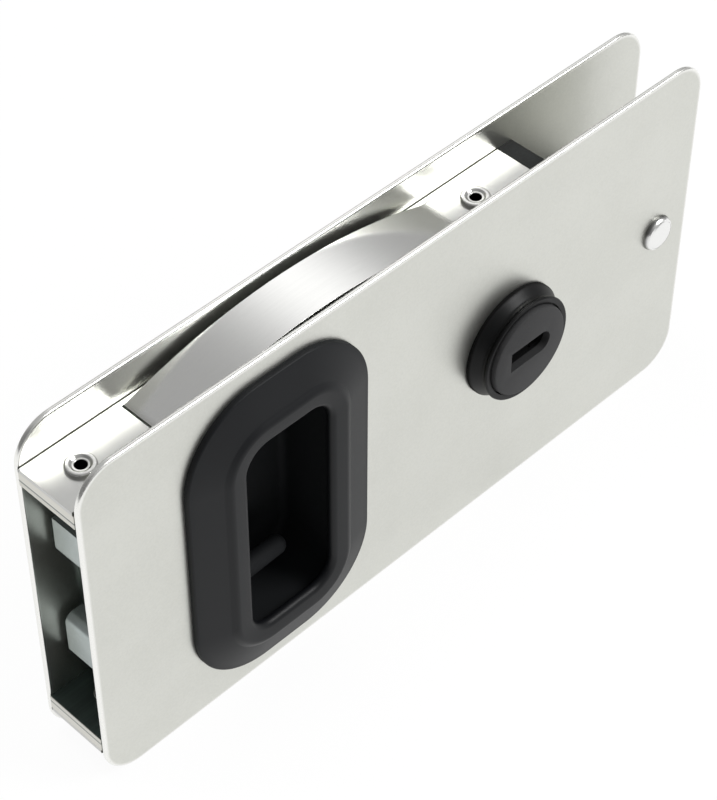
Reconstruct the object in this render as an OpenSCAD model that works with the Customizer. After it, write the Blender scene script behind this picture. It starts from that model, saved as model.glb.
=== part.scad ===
// Flush latch for a glass or sheet door leaf: two cover plates on a riveted channel case,
// a recessed finger cup with a release lever, a pair of geared claws, and a key lock that blocks them.
// X runs along the plates from the open claw end to the door edge, Y from front to rear, Z up.
// The origin is the middle of the door edge seat. Lengths are in millimetres, angles in degrees.

/* [Cover plates] */
// Length of a cover plate
plate_length = 198; // [196:0.5:204]
// Height of a cover plate
plate_height = 100; // [98:0.5:104]
// Sheet thickness of a cover plate
plate_thick = 1.5; // [1.4:0.05:1.6]
// Clear gap between the two cover plates
plate_gap = 17.5; // [17.5:0.1:18]
// Corner radius of a cover plate
plate_corner_r = 10; // [8:0.5:11]
// Rounding of a cover plate's edges
plate_edge_r = 0.6; // [0.5:0.05:0.65]

/* [Case] */
// Length of the case from the open end to its end wall's outer face
case_length = 145.4; // [145.2:0.1:147]
// Outer height of the case
case_height = 81; // [80:0.5:83]
// Sheet thickness of the outer strap
strap_thick = 1; // [0.9:0.05:1.1]
// Thickness of the frame bar inside the strap
frame_thick = 2.4; // [2.3:0.05:2.5]
// Thickness of the chassis flanges
flange_thick = 1.6; // [1.5:0.05:1.7]
// Thickness of the chassis web behind the works
web_thick = 1.2; // [1.15:0.05:1.25]
// Distance from the open end to the edge of the chassis web
web_start = 12; // [11:0.5:13]
// Thickness of the end pad that the door edge rests on
pad_thick = 5.1; // [4.5:0.1:6]
// Radius of the end pad's four pegs
pad_peg_r = 2; // [1.6:0.1:2.2]
// Distance of the pegs above and below the middle
pad_peg_z = 26; // [22:0.5:30]

/* [Spring tongues] */
// Width of a bowed spring tongue
tongue_width = 14; // [13:0.1:14.1]
// Slit between a tongue and the strap beside it
tongue_slit = 0.2; // [0.15:0.05:0.25]
// Distance from the open end to a tongue's free end
tongue_start = 27.5; // [26:0.5:29]
// Distance from the open end to the crown of the bow
tongue_crown_at = 73; // [72:0.5:74]
// Radius of the bow's outer face
tongue_r = 138; // [136:1:140]
// Height of the crown above the case
tongue_rise = 7.8; // [7.5:0.1:8]
// Radius of the bend where the bow runs into the strap
tongue_root_r = 12; // [10:0.5:14]
// Length of the open slot in front of the free end
tongue_slot = 0.5; // [0.4:0.05:0.7]

/* [Strap rivets] */
// Distance of the first rivets from the open end
rivet_first_at = 9.7; // [9:0.1:10.5]
// Distance of the second rivets from the open end
rivet_second_at = 128.7; // [127.5:0.1:130]
// Radius of a rivet's shank
rivet_shank_r = 2.2; // [2:0.05:2.4]
// Radius of a rivet's ring head
rivet_head_r = 3.6; // [3.4:0.05:3.8]
// Height of a rivet's ring head
rivet_head_h = 1; // [0.8:0.05:1.1]
// Radius of a rivet's open core
rivet_core_r = 1.5; // [1.3:0.05:1.6]

/* [Finger cup] */
// Distance of the cup's middle from the open end
cup_at = 54.9; // [54.6:0.1:55.4]
// Half length of the straight run along the cup's top and bottom
cup_half_run = 6.2; // [6:0.1:6.4]
// Gap between the well and the chassis flanges
cup_flange_gap = 1.4; // [1.3:0.1:1.6]
// Distance from those runs to the rim's outer edge
rim_reach = 21; // [20.5:0.1:21.5]
// Distance from those runs to the rim's crest
crest_reach = 11.9; // [11.7:0.1:12.1]
// Distance from those runs to the edge of the mouth
mouth_reach = 6.3; // [6:0.1:6.6]
// Distance from those runs to the wall inside the well
well_reach = 9.3; // [9.2:0.05:9.35]
// Height of the rim at its outer edge
rim_edge_h = 1.4; // [1.3:0.05:1.5]
// Height of the rim's crest above the front plate
crest_h = 4.9; // [4.7:0.1:5.1]
// Depth of the well's floor behind the front plate's outer face
well_depth = 15; // [14.8:0.05:15.1]
// Wall of the well
cup_wall = 1.5; // [1.4:0.05:1.55]
// Thickness of the well's floor
cup_floor = 1.2; // [1.1:0.05:1.25]

/* [Cup screws] */
// Radius of a cup screw's shank
cup_screw_r = 1.4; // [1.2:0.05:1.5]
// Radius of a cup screw's head
cup_screw_head_r = 2.4; // [2.2:0.05:2.5]
// Height of a cup screw's head
cup_screw_head_h = 1.7; // [1.5:0.05:1.8]
// Depth of a cup screw's tip in the rim
cup_screw_bite = 1.9; // [1.7:0.05:2]
// Distance of the screws from the cup's middle, along the plates
cup_screw_dx = 22.3; // [22.1:0.1:22.6]
// Distance of the claw side screws above and below the middle
cup_screw_z_left = 9.5; // [8:0.5:10]
// Distance of the lock side screws above and below the middle
cup_screw_z_right = 28; // [24:0.5:29]

/* [Claws] */
// Distance of the claw pivots from the open end
claw_at = 27; // [26.9:0.05:27.1]
// Distance of each claw pivot from the chassis flange
claw_inset = 16.5; // [16.3:0.05:16.6]
// Distance of the nose faces from the open end
nose_at = 5.75; // [5:0.25:6.5]
// Length of the hooked part of a nose
nose_length = 5.25; // [4.5:0.25:5.5]
// Height of the inner face of a nose above or below the middle
nose_inner = 10.5; // [10:0.25:11]
// Height of the outer face of a nose above or below the middle
nose_outer = 22; // [21:0.25:22.5]
// Depth of the throat behind the hook
throat_step = 4; // [3.5:0.25:4.5]
// Length of the throat behind the hook
throat_length = 4.4; // [4:0.1:4.8]
// Rounding of the nose's inner front corner
nose_round = 2.5; // [2:0.25:3]
// Width of a nose across the case
nose_width = 14.4; // [14:0.1:14.8]
// Thickness of a claw's arm
claw_thick = 6.2; // [6:0.1:6.4]
// Thickness of the toothed sector
sector_thick = 3.5; // [3.4:0.05:3.6]
// Position of the gear plate's front face behind the mid-plane
claw_front_y = -0.9; // [-1:0.05:-0.8]
// Radius of a claw's hub
claw_hub_r = 5; // [4.8:0.1:5.2]
// Teeth that a whole gear of this pitch would have
gear_teeth = 36; // [36:1:36]
// Swing of a claw when the latch is released
claw_swing = 12; // [11:0.25:12]
// Play between the tooth flanks
gear_play = 0.28; // [0.24:0.02:0.32]

/* [Claw pins and springs] */
// Radius of the pivot journals
journal_r = 2.5; // [2.4:0.02:2.56]
// Radial running clearance of the pivots
pivot_play = 0.05; // [0.03:0.01:0.08]
// Radius of the shoulder at the front of a claw pin
claw_shoulder_r = 3; // [2.8:0.05:3.1]
// Radius of the riveted tenons in the web
tenon_r = 2; // [1.8:0.05:2.1]
// Distance of the claw springs from the open end
spring_at = 18.5; // [18.3:0.1:18.7]
// Mean radius of a claw spring
spring_r = 2.6; // [2.55:0.01:2.65]
// Wire radius of a claw spring
spring_wire_r = 0.45; // [0.4:0.01:0.48]
// Turns of a claw spring
spring_turns = 4.5; // [4:0.5:5]
// Radius of the spring stubs
stub_r = 1.8; // [1.6:0.05:1.9]
// Height of the spring stubs
stub_h = 1.5; // [1.2:0.1:1.8]

/* [Release lever] */
// Distance of the lever pivot from the open end
lever_at = 33; // [32.9:0.05:33.1]
// Gap between the lever's hub and the lower chassis flange
lever_foot_gap = 0.1; // [0.1:0.02:0.2]
// Thickness of the lever
lever_thick = 5; // [4.8:0.1:5.1]
// Distance of the lever's mid-plane in front of the case's mid-plane
lever_fore = 3.75; // [3.7:0.05:3.8]
// Radius of the lever's hub
lever_hub_r = 4.4; // [4.3:0.05:4.5]
// Distance of the finger bar's tip from the open end
bar_tip_at = 62; // [60:0.5:64]
// Height of the finger bar above the lever pivot at the well's wall
bar_lift = 8.7; // [8.65:0.05:8.8]
// Rise of the finger bar over its length
bar_rise = 1; // [0.6:0.1:1.2]
// Distance from the lever pivot to its drive pin
drive_arm = 7.4; // [7.3:0.05:7.5]
// Radius of the drive pin
drive_r = 1.5; // [1.4:0.05:1.55]
// Play of the drive pin in the claw's fork
drive_play = 0.3; // [0.28:0.01:0.32]
// Swing of the lever when it is pressed
lever_swing = 10; // [9:0.25:10]

/* [Key lock] */
// Distance of the lock's axis from the open end
lock_at = 132; // [131.9:0.05:132.1]
// Height of the lock's axis and of the door bolt above the middle
lock_rise = 0.7; // [0.5:0.05:0.9]
// Radius of the barrel inside the case
barrel_r = 9.5; // [9.4:0.02:9.6]
// Radius of the barrel's base flange
lock_base_r = 15.4; // [15:0.1:16]
// Thickness of the barrel's base flange
lock_base_h = 0.9; // [0.7:0.05:1]
// Radius of the barrel's waist behind its lip
lock_waist_r = 13.4; // [13.3:0.05:13.5]
// Radius of the barrel's lip
lock_lip_r = 14.2; // [14:0.1:14.5]
// Height of the barrel's lip
lock_lip_h = 5.5; // [5.3:0.05:5.6]
// Radius of the plug's face
plug_face_r = 12.3; // [12.1:0.05:12.4]
// Height of the plug's face above the front plate
plug_face_h = 6.66; // [6.5:0.02:6.8]
// Radius of the plug's neck under its face
plug_neck_r = 8.7; // [8.6:0.02:8.8]
// Radius of the plug's shaft
plug_r = 7.5; // [7.4:0.02:7.55]
// Length of the keyhole
keyhole_length = 13.6; // [13.2:0.1:13.8]
// Height of the keyhole
keyhole_height = 6; // [5.8:0.1:6.1]
// Depth of the keyhole in front of the shutter
keyhole_depth = 2.6; // [2.5:0.05:2.7]
// Height of the keyhole's middle above the lock's axis
keyhole_rise = 0.6; // [0.4:0.05:0.8]
// Turn of the key
key_turn = 90; // [80:1:90]
// Opening angle of the key shutter
shutter_swing = 70; // [60:1:75]
// Thickness of the lock's spring clip
clip_thick = 1; // [0.9:0.05:1.05]

/* [Locking slide] */
// Height of the slide's long strip
slide_height = 8; // [7.6:0.1:8.2]
// Thickness of the slide
slide_thick = 1; // [0.95:0.02:1.02]
// Half height of the slide's blocking lug
lug_half = 3.6; // [3.2:0.1:4]
// Thickness of the blocking lug along the case
lug_thick = 1.1; // [1:0.05:1.1]
// Radius of the stop studs on the claws
stud_r = 0.88; // [0.8:0.02:0.88]
// Distance of a stop stud inside the gear's pitch circle
stud_inset = 2.3; // [2.25:0.05:2.35]
// Distance of the crank pin from the lock's axis
crank_r = 3.5; // [3.46:0.01:3.54]
// Radius of the crank pin
crank_pin_r = 1.1; // [1.05:0.01:1.12]
// Distance of the first slide guide from the open end
guide_first_at = 84; // [80:0.5:88]
// Distance of the second slide guide from the open end
guide_second_at = 108; // [104:0.5:112]

/* [Thumb turn] */
// Radius of the thumb turn's spindle
spindle_r = 5; // [4.95:0.01:5.05]
// Radius of the thumb turn's collar
collar_r = 6.2; // [6.1:0.02:6.25]
// Radius of the rear rose
rose_r = 16; // [15:0.25:17]
// Thickness of the rear rose
rose_h = 2; // [1.8:0.1:2.4]
// Radius of the thumb turn's disc
turn_disc_r = 12; // [11:0.25:13]
// Height of the thumb turn's grip behind its disc
turn_grip_h = 10; // [8:0.5:12]
// Width of the thumb turn's grip
turn_grip_w = 6.5; // [6:0.25:7]

/* [Door bolt] */
// Distance of the door bolt from the door end of the cover plates
bolt_inset = 11.7; // [11:0.1:12.5]
// Radius of the bolt's domed heads
bolt_head_r = 4.9; // [4.7:0.05:5.1]
// Height of the bolt's domed heads
bolt_head_h = 2.2; // [2:0.05:2.4]
// Radius of the door sleeve
sleeve_r = 4; // [3.9:0.05:4.2]
// Radius of the domed nut's shank
nut_shank_r = 3; // [2.9:0.02:3.1]
// Radius of the bolt's thread
bolt_r = 2; // [1.9:0.02:2.1]

/* [Hidden] */
$fn = 64;
eps = 0.01;
// Clearance between bodies that pass each other
pass = 0.3;
// Radial clearance of pressed and riveted pieces
seat_fit = 0.05;
half_gap = plate_gap / 2;
outer_y = half_gap + plate_thick;
seat_at = case_length + pad_thick;
case_half = case_height / 2;
frame_top = case_half - strap_thick;
flange_top = frame_top - frame_thick;
inner_half = flange_top - flange_thick;
strap_end = case_length - strap_thick;
frame_end = strap_end - frame_thick;
web_y = half_gap - web_thick;
bolt_x = plate_length - bolt_inset - seat_at;
lock_x = lock_at - seat_at;
claw_x = claw_at - seat_at;
lever_x = lever_at - seat_at;
cup_x = cup_at - seat_at;
cup_body_reach = well_reach + cup_wall;
cup_half_rise = inner_half - cup_body_reach - cup_flange_gap;
cup_hole_reach = cup_body_reach + 0.1;
cup_screws_at = [
    [-cup_screw_dx, cup_screw_z_left],
    [-cup_screw_dx, -cup_screw_z_left],
    [cup_screw_dx, cup_screw_z_right],
    [cup_screw_dx, -cup_screw_z_right]
];
rivets_at = [rivet_first_at, rivet_second_at];
pegs_at = [[-1, -1], [1, -1], [-1, 1], [1, 1]];
peg_y = 4.6;
// Heights of the pivots: the gear pitch radius is a claw pivot's distance from the middle
claw_pitch_r = inner_half - claw_inset;
stud_at_r = claw_pitch_r - stud_inset;
lever_drop = inner_half - lever_hub_r - lever_foot_gap;
bar_drop = lever_drop - bar_lift;
// Gear: module, outside and root radius, base radius, swing of one tooth
gear_module = 2 * claw_pitch_r / gear_teeth;
tip_r = claw_pitch_r + 0.95 * gear_module;
root_r = claw_pitch_r - 1.25 * gear_module;
base_r = claw_pitch_r * cos(20);
tooth_step = 360 / gear_teeth;
tooth_half = tooth_step / 4 - (gear_play / 2) / claw_pitch_r * 180 / PI;
lower_teeth = [-1, 0, 1, 2];
upper_teeth = [-0.5, 0.5, 1.5, 2.5];
sector_left = -14;
sector_right = [24.5, 29];
claw_rear_y = claw_front_y + claw_thick;
claw_mid_y = claw_front_y + claw_thick / 2;
arm_under = 24;
spring_low = -inner_half;
spring_high = -arm_under;
// The drive pin lies on the line from the lever pivot to the lower claw pivot
drive_dx = claw_at - lever_at;
drive_dz = lever_drop - claw_pitch_r;
drive_span = norm([drive_dx, drive_dz]);
drive_u = [drive_dx / drive_span, drive_dz / drive_span];
drive_pos = [drive_u[0] * drive_arm, drive_u[1] * drive_arm];
fork_at = drive_span - drive_arm;
lever_front_y = -lever_fore - lever_thick / 2;
lever_rear_y = -lever_fore + lever_thick / 2;
bar_r = lever_thick / 2;
// Key lock: depths are measured from the front plate's outer face, outward positive
barrel_rear = -12.25;
plug_rear = barrel_rear - pass;
cam_rear = plug_rear - 2.7;
cam_r = 7.4;
tail_half = 2.6;
tail_rear = plug_rear - 1.5;
cam_screw_r = 1.25;
cam_screw_head_r = 2.1;
cam_screw_head_h = 0.9;
cavity = [[-5.9, 2.9], [-2.9, 3.1]];
cavity_rear = -3;
round_hole_at = 3.8;
round_hole_r = 2.6;
trunnion_r = 0.5;
trunnion_z = 2.4;
trunnion_h = plug_face_h - keyhole_depth - 0.9;
clip_flat = 8.05;
clip_left = 13;
clip_length = 22;
clip_half = 12.5;
clip_mouth_left = 9.6;
groove_half = 12;
groove_deep = 4;
cam_slot = 0.7;
cam_slot_length = 6;
slide_pad_left = 9;
slide_pad_right = 4;
slide_pad_half = 7;
crank_side = crank_r * sin(key_turn / 2);
crank_up = crank_r * cos(key_turn / 2);
slide_rear_y = web_y - pass;
slide_front_y = slide_rear_y - slide_thick;
stud_x = claw_at + stud_at_r * sin(claw_swing / 2);
lug_rest_at = stud_x - stud_r - pass - 2 * crank_side;
lug_front_y = claw_front_y + sector_thick + pass;
collar_h = 0.6;
collar_y = web_y + pass;
knob_y = outer_y + rose_h + pass;
crank_end_y = collar_y + 1.4;
bolt_rear_y = -4;
screw_end_y = -3;
nut_end_y = 4;

// Moves a piece drawn in the plane of the plates, standing toward the front, to depth y
module facing(x, y, z) {
    translate([x, y, z]) rotate([90, 0, 0]) children();
}

// Moves a flat shape drawn along the case and upward to the slab from y0 to y1
module slab(y0, y1) {
    translate([0, y1, 0]) rotate([90, 0, 0]) linear_extrude(y1 - y0) children();
}

// Sweeps a profile around a rounded rectangle whose corner centres lie at half_a and half_b
module around(half_a, half_b) {
    for (k = [0:3]) {
        a = k % 2 == 0 ? half_a : half_b;
        b = k % 2 == 0 ? half_b : half_a;
        rotate([0, 0, 90 * k]) {
            translate([a, b, 0]) rotate_extrude(angle = 90) children();
            translate([a, 0, 0]) rotate([90, 0, 0]) linear_extrude(2 * b, center = true) children();
        }
    }
}

// Flat rounded rectangle with corner centres at half_a and half_b
module round_rect(half_a, half_b, reach) {
    square([2 * half_a + 2 * reach, 2 * half_b], center = true);
    square([2 * half_a, 2 * half_b + 2 * reach], center = true);
    for (sx = [-1, 1]) {
        for (sy = [-1, 1]) {
            translate([sx * half_a, sy * half_b]) circle(reach);
        }
    }
}

// Cover plate blank lying on the local ground, both edges rounded
module plate_blank() {
    half_a = plate_length / 2 - plate_corner_r;
    half_b = plate_height / 2 - plate_corner_r;
    inset = plate_corner_r - plate_edge_r;
    linear_extrude(plate_thick) round_rect(half_a, half_b, inset);
    around(half_a, half_b) {
        translate([inset - 2, 0]) square([2, plate_thick]);
        translate([inset - 2, plate_edge_r]) square([2 + plate_edge_r, plate_thick - 2 * plate_edge_r]);
        for (h = [plate_edge_r, plate_thick - plate_edge_r]) {
            translate([inset, h]) circle(plate_edge_r);
        }
    }
}

// Holes for the rivets, drawn along Z through the case's top and bottom
module rivet_bores() {
    for (at = rivets_at) {
        translate([at - seat_at, 0, 0])
            cylinder(r = rivet_shank_r + seat_fit, h = case_height + 10, center = true);
    }
}

// Stations of the end pad's pegs
module at_pegs() {
    for (p = pegs_at) {
        translate([case_length - seat_at, p[0] * peg_y, p[1] * pad_peg_z]) rotate([0, 90, 0]) children();
    }
}

module front_plate() {
    color([0.84, 0.84, 0.82]) difference() {
        facing(plate_length / 2 - seat_at, -half_gap, 0) plate_blank();
        facing(cup_x, -half_gap, 0) translate([0, 0, -1])
            linear_extrude(plate_thick + 2) round_rect(cup_half_run, cup_half_rise, cup_hole_reach);
        for (s = cup_screws_at) {
            facing(cup_x + s[0], -half_gap, s[1])
                cylinder(r = cup_screw_r + seat_fit, h = 4, center = true);
        }
        facing(lock_x, -half_gap, lock_rise) cylinder(r = barrel_r + seat_fit, h = 4, center = true);
        facing(bolt_x, -half_gap, lock_rise) cylinder(r = nut_shank_r + seat_fit, h = 4, center = true);
    }
}

module rear_plate() {
    color([0.84, 0.84, 0.82]) difference() {
        mirror([0, 1, 0]) facing(plate_length / 2 - seat_at, -half_gap, 0) plate_blank();
        facing(lock_x, half_gap, lock_rise) cylinder(r = collar_r + pass + seat_fit, h = 4, center = true);
        facing(bolt_x, half_gap, lock_rise) cylinder(r = bolt_r + seat_fit, h = 4, center = true);
    }
}

// Outline of a bowed tongue along the case and upward, with its bend into the strap
module tongue_outline() {
    crown_x = tongue_crown_at - seat_at;
    centre_z = case_half + tongue_rise - tongue_r;
    root_z = case_half + tongue_root_r;
    root_dx = sqrt(pow(tongue_r + tongue_root_r, 2) - pow(root_z - centre_z, 2));
    share = tongue_r / (tongue_r + tongue_root_r);
    join = [crown_x + root_dx * share, centre_z + (root_z - centre_z) * share];
    start_x = tongue_start - seat_at;
    intersection() {
        translate([crown_x, centre_z]) difference() {
            circle(tongue_r, $fn = 400);
            circle(tongue_r - strap_thick, $fn = 400);
        }
        polygon([
            [start_x, case_half - 2], [start_x, case_half + 20],
            [crown_x + (join[0] - crown_x) * 1.2, centre_z + (join[1] - centre_z) * 1.2],
            [crown_x + (join[0] - crown_x) * 0.8, centre_z + (join[1] - centre_z) * 0.8],
            [crown_x, case_half - 2]
        ]);
    }
    intersection() {
        translate([crown_x + root_dx, root_z]) difference() {
            circle(tongue_root_r + strap_thick);
            circle(tongue_root_r);
        }
        polygon([
            [crown_x + root_dx, root_z],
            [crown_x + root_dx + (join[0] - crown_x - root_dx) * 1.3, root_z + (join[1] - root_z) * 1.3],
            [crown_x + root_dx, root_z - (tongue_root_r + strap_thick) * 1.3]
        ]);
    }
}

module outer_strap() {
    crown_x = tongue_crown_at - seat_at;
    root_z = tongue_root_r + tongue_r - tongue_rise;
    root_end = crown_x + sqrt(pow(tongue_r + tongue_root_r, 2) - pow(root_z, 2));
    window_x = tongue_start - tongue_slot - seat_at;
    color([0.8, 0.82, 0.8]) difference() {
        union() {
            difference() {
                slab(-half_gap, half_gap) difference() {
                    translate([-seat_at, -case_half]) square([case_length, case_height]);
                    translate([-seat_at - 1, -frame_top]) square([strap_end + 1, 2 * frame_top]);
                }
                translate([window_x, -tongue_width / 2 - tongue_slit, -case_half - 1])
                    cube([root_end - window_x, tongue_width + 2 * tongue_slit, case_height + 2]);
            }
            for (up = [0, 1]) {
                mirror([0, 0, up]) slab(-tongue_width / 2, tongue_width / 2) tongue_outline();
            }
        }
        rivet_bores();
        at_pegs() cylinder(r = pad_peg_r + seat_fit, h = 20, center = true);
    }
}

module frame_bar() {
    color([0.62, 0.64, 0.64]) difference() {
        slab(-half_gap, half_gap) difference() {
            translate([-seat_at, -frame_top]) square([strap_end, 2 * frame_top]);
            translate([-seat_at - 1, -flange_top]) square([frame_end + 1, 2 * flange_top]);
        }
        rivet_bores();
        at_pegs() cylinder(r = pad_peg_r + seat_fit, h = 20, center = true);
    }
}

module chassis() {
    color([0.6, 0.62, 0.62]) difference() {
        union() {
            slab(-half_gap, half_gap) for (side = [0, 1]) {
                mirror([0, side]) translate([-seat_at, inner_half]) square([frame_end, flange_thick]);
            }
            slab(web_y, half_gap) translate([web_start - seat_at, -flange_top])
                square([frame_end - web_start, 2 * flange_top]);
            for (side = [0, 1]) {
                mirror([0, 0, side]) translate([spring_at - seat_at, claw_mid_y, -inner_half - eps])
                    cylinder(r = stub_r, h = stub_h + eps);
            }
        }
        rivet_bores();
        facing(claw_x, half_gap, claw_pitch_r) cylinder(r = tenon_r + seat_fit, h = 4, center = true);
        facing(claw_x, half_gap, -claw_pitch_r) cylinder(r = tenon_r + seat_fit, h = 4, center = true);
        facing(lever_x, half_gap, -lever_drop) cylinder(r = tenon_r + seat_fit, h = 4, center = true);
        facing(lock_x, half_gap, lock_rise) cylinder(r = collar_r + pass + seat_fit, h = 4, center = true);
        guide_tabs(web_y - 1, seat_fit);
    }
}

module end_pad() {
    color([0.1, 0.1, 0.1]) {
        slab(-half_gap, half_gap) translate([-pad_thick, -case_half]) square([pad_thick, case_height]);
        at_pegs() translate([0, 0, -strap_thick - frame_thick - 1])
            cylinder(r = pad_peg_r, h = strap_thick + frame_thick + 2);
    }
}

module strap_rivets() {
    color([0.8, 0.81, 0.82]) for (at = rivets_at) {
        for (side = [0, 1]) {
            translate([at - seat_at, 0, 0]) mirror([0, 0, side]) rotate_extrude() polygon([
                [rivet_core_r, inner_half - 0.8], [rivet_shank_r + 0.9, inner_half - 0.8],
                [rivet_shank_r + 0.9, inner_half], [rivet_shank_r, inner_half],
                [rivet_shank_r, case_half], [rivet_head_r, case_half],
                [rivet_head_r, case_half + 0.25 * rivet_head_h],
                [rivet_head_r - 0.25, case_half + 0.6 * rivet_head_h],
                [rivet_head_r - 0.7, case_half + 0.88 * rivet_head_h],
                [rivet_head_r - 1.2, case_half + rivet_head_h],
                [rivet_core_r + 0.3, case_half + rivet_head_h],
                [rivet_core_r, case_half + 0.7 * rivet_head_h]
            ]);
        }
    }
}

// Section of the finger cup from the corner centres outward, front plate's outer face at zero
module cup_section() {
    polygon([
        [well_reach - 2, -well_depth], [well_reach - 0.6, -well_depth + 0.6], [well_reach, -well_depth + 2],
        [well_reach, 0.4], [well_reach - 0.7, 1.4], [mouth_reach + 0.6, 2],
        [mouth_reach + 0.05, 2.5], [mouth_reach, 3.1], [mouth_reach + 0.4, crest_h - 1.2],
        [mouth_reach + 1.3, crest_h - 0.85], [crest_reach - 2.2, crest_h - 0.35],
        [crest_reach - 0.9, crest_h], [crest_reach, crest_h - 0.1], [crest_reach + 0.8, crest_h - 0.45],
        [rim_reach - 0.9, rim_edge_h + 0.12], [rim_reach - 0.35, rim_edge_h - 0.15],
        [rim_reach, rim_edge_h - 0.6],
        [rim_reach, 0], [cup_body_reach, 0],
        [cup_body_reach, -well_depth - cup_floor], [well_reach - 2, -well_depth - cup_floor]
    ]);
}

module front_cup() {
    color([0.13, 0.13, 0.14]) difference() {
        union() {
            facing(cup_x, -outer_y, 0) around(cup_half_run, cup_half_rise) cup_section();
            facing(cup_x, -outer_y, 0) translate([0, 0, -well_depth - cup_floor])
                linear_extrude(cup_floor) round_rect(cup_half_run, cup_half_rise, well_reach - 1);
        }
        for (s = cup_screws_at) {
            facing(cup_x + s[0], -outer_y, s[1])
                cylinder(r = cup_screw_r, h = 2 * cup_screw_bite, center = true);
        }
        translate([cup_x - cup_half_run - cup_body_reach - 1, 0, 0])
            translate([0, -lever_fore - bar_r - pass, -bar_drop - bar_r - 1.6])
                cube([cup_wall + 2.2, 2 * bar_r + 2 * pass, 2 * bar_r + 1.6 + pass + 0.2]);
    }
}

module cup_screws() {
    color([0.7, 0.71, 0.72]) for (s = cup_screws_at) {
        difference() {
            union() {
                facing(cup_x + s[0], -half_gap, s[1])
                    cylinder(r = cup_screw_r, h = plate_thick + cup_screw_bite);
                facing(cup_x + s[0], -half_gap + cup_screw_head_h, s[1])
                    cylinder(r = cup_screw_head_r, h = cup_screw_head_h);
            }
            facing(cup_x + s[0], -half_gap + cup_screw_head_h + eps, s[1]) {
                linear_extrude(0.8) square([3.2, 0.7], center = true);
                linear_extrude(0.8) square([0.7, 3.2], center = true);
            }
        }
    }
}

module release_lever() {
    wall_x = cup_x - cup_half_run - cup_body_reach;
    tip_x = bar_tip_at - seat_at - bar_r;
    lift = atan(bar_rise / (tip_x - wall_x));
    color([0.16, 0.16, 0.17]) difference() {
        union() {
            facing(lever_x, lever_rear_y, -lever_drop) linear_extrude(lever_thick) {
                circle(lever_hub_r);
                polygon([
                    [-3.9, 2], [drive_pos[0] - 2.2, drive_pos[1] - 0.9],
                    [drive_pos[0] - 1.9, drive_pos[1] + 1.4],
                    [drive_pos[0] + 0.5, drive_pos[1] + 2.3], [0.8, 10.6],
                    [3.4, 11.15], [3.4, 6.2], [3.5, 2.6], [3, -3]
                ]);
                translate(drive_pos) circle(2.3);
            }
            facing(lever_x + drive_pos[0], lever_rear_y + 4.2, -lever_drop + drive_pos[1])
                cylinder(r = drive_r, h = 5);
            translate([wall_x - 1.8, -lever_fore, -bar_drop]) rotate([0, 90 - lift, 0]) {
                cylinder(r = bar_r, h = (tip_x - wall_x + 1.8) / cos(lift));
                translate([0, 0, (tip_x - wall_x + 1.8) / cos(lift)]) sphere(bar_r);
            }
        }
        facing(lever_x, 0, -lever_drop) cylinder(r = journal_r + pivot_play, h = 40, center = true);
    }
}

module lever_pin() {
    color([0.72, 0.73, 0.74]) difference() {
        union() {
            facing(lever_x, half_gap, -lever_drop) cylinder(r = tenon_r, h = web_thick + eps);
            facing(lever_x, web_y, -lever_drop)
                cylinder(r = journal_r + 0.7, h = web_y - lever_rear_y - pass);
            facing(lever_x, web_y, -lever_drop)
                cylinder(r = journal_r, h = web_y - lever_front_y + pass + 1.5);
        }
        facing(lever_x, lever_front_y - pass, -lever_drop) difference() {
            cylinder(r = journal_r + 1, h = 0.7);
            translate([0, 0, -1]) cylinder(r = journal_r - 0.5, h = 3);
        }
    }
}

module lever_clip() {
    color([0.4, 0.41, 0.42]) facing(lever_x, lever_front_y - pass, -lever_drop) linear_extrude(0.7)
        difference() {
        circle(journal_r + 1.5);
        circle(journal_r - 0.5);
        translate([0, -3]) square([3, 6], center = true);
    }
}

// Half angle of a tooth at radius r, wider toward the root along the involute
function involute(r) = r <= base_r ? 0 : tan(acos(base_r / r)) * 180 / PI - acos(base_r / r);
function flank(r) = tooth_half + involute(claw_pitch_r) - involute(r);
function polar(r, a) = [r * sin(a), r * cos(a)];

// Gear tooth pointing up from the pivot and turned to the right by the angle given
module tooth(turn) {
    low_r = 0.6 * base_r + 0.4 * claw_pitch_r;
    high_r = 0.5 * claw_pitch_r + 0.5 * tip_r;
    radii = [root_r - 0.5, base_r, low_r, claw_pitch_r, high_r, tip_r];
    right = [for (r = radii) polar(r, turn + flank(r))];
    left = [for (k = [len(radii) - 1:-1:0]) polar(radii[k], turn - flank(radii[k]))];
    polygon(concat(right, left));
}

// Toothed sector around a claw's pivot
module claw_sector(teeth, right_edge) {
    intersection() {
        circle(root_r);
        polygon([
            [0, -1], polar(30, sector_left), polar(30, right_edge / 2 + sector_left / 2),
            polar(30, right_edge)
        ]);
    }
    for (k = teeth) {
        tooth(k * tooth_step);
    }
}

// Arm between a claw's hub and its nose
module claw_arm() {
    nose_x = nose_at - claw_at;
    hook_end = nose_x + nose_length;
    throat_end = hook_end + throat_length;
    inner = claw_pitch_r - nose_inner;
    outer = claw_pitch_r - nose_outer;
    under = claw_pitch_r - arm_under;
    polygon([
        [hook_end, outer], [hook_end, inner - throat_step], [throat_end, inner - throat_step],
        [-7, 6], [0, claw_hub_r], [2, -claw_hub_r + 0.5], [-1, under],
        [throat_end - 1, under], [throat_end - 3, outer]
    ]);
}

// Lower claw's nose around its pivot
module claw_nose() {
    nose_x = nose_at - claw_at;
    hook_end = nose_x + nose_length;
    inner = claw_pitch_r - nose_inner;
    outer = claw_pitch_r - nose_outer;
    translate([nose_x + nose_round, inner - nose_round]) circle(nose_round);
    polygon([
        [nose_x, outer], [nose_x, inner - nose_round], [nose_x + nose_round, inner - nose_round],
        [nose_x + nose_round, inner], [hook_end, inner], [hook_end, inner - throat_step],
        [hook_end + throat_length, inner - throat_step], [hook_end + throat_length - 1.5, outer]
    ]);
}

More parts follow.
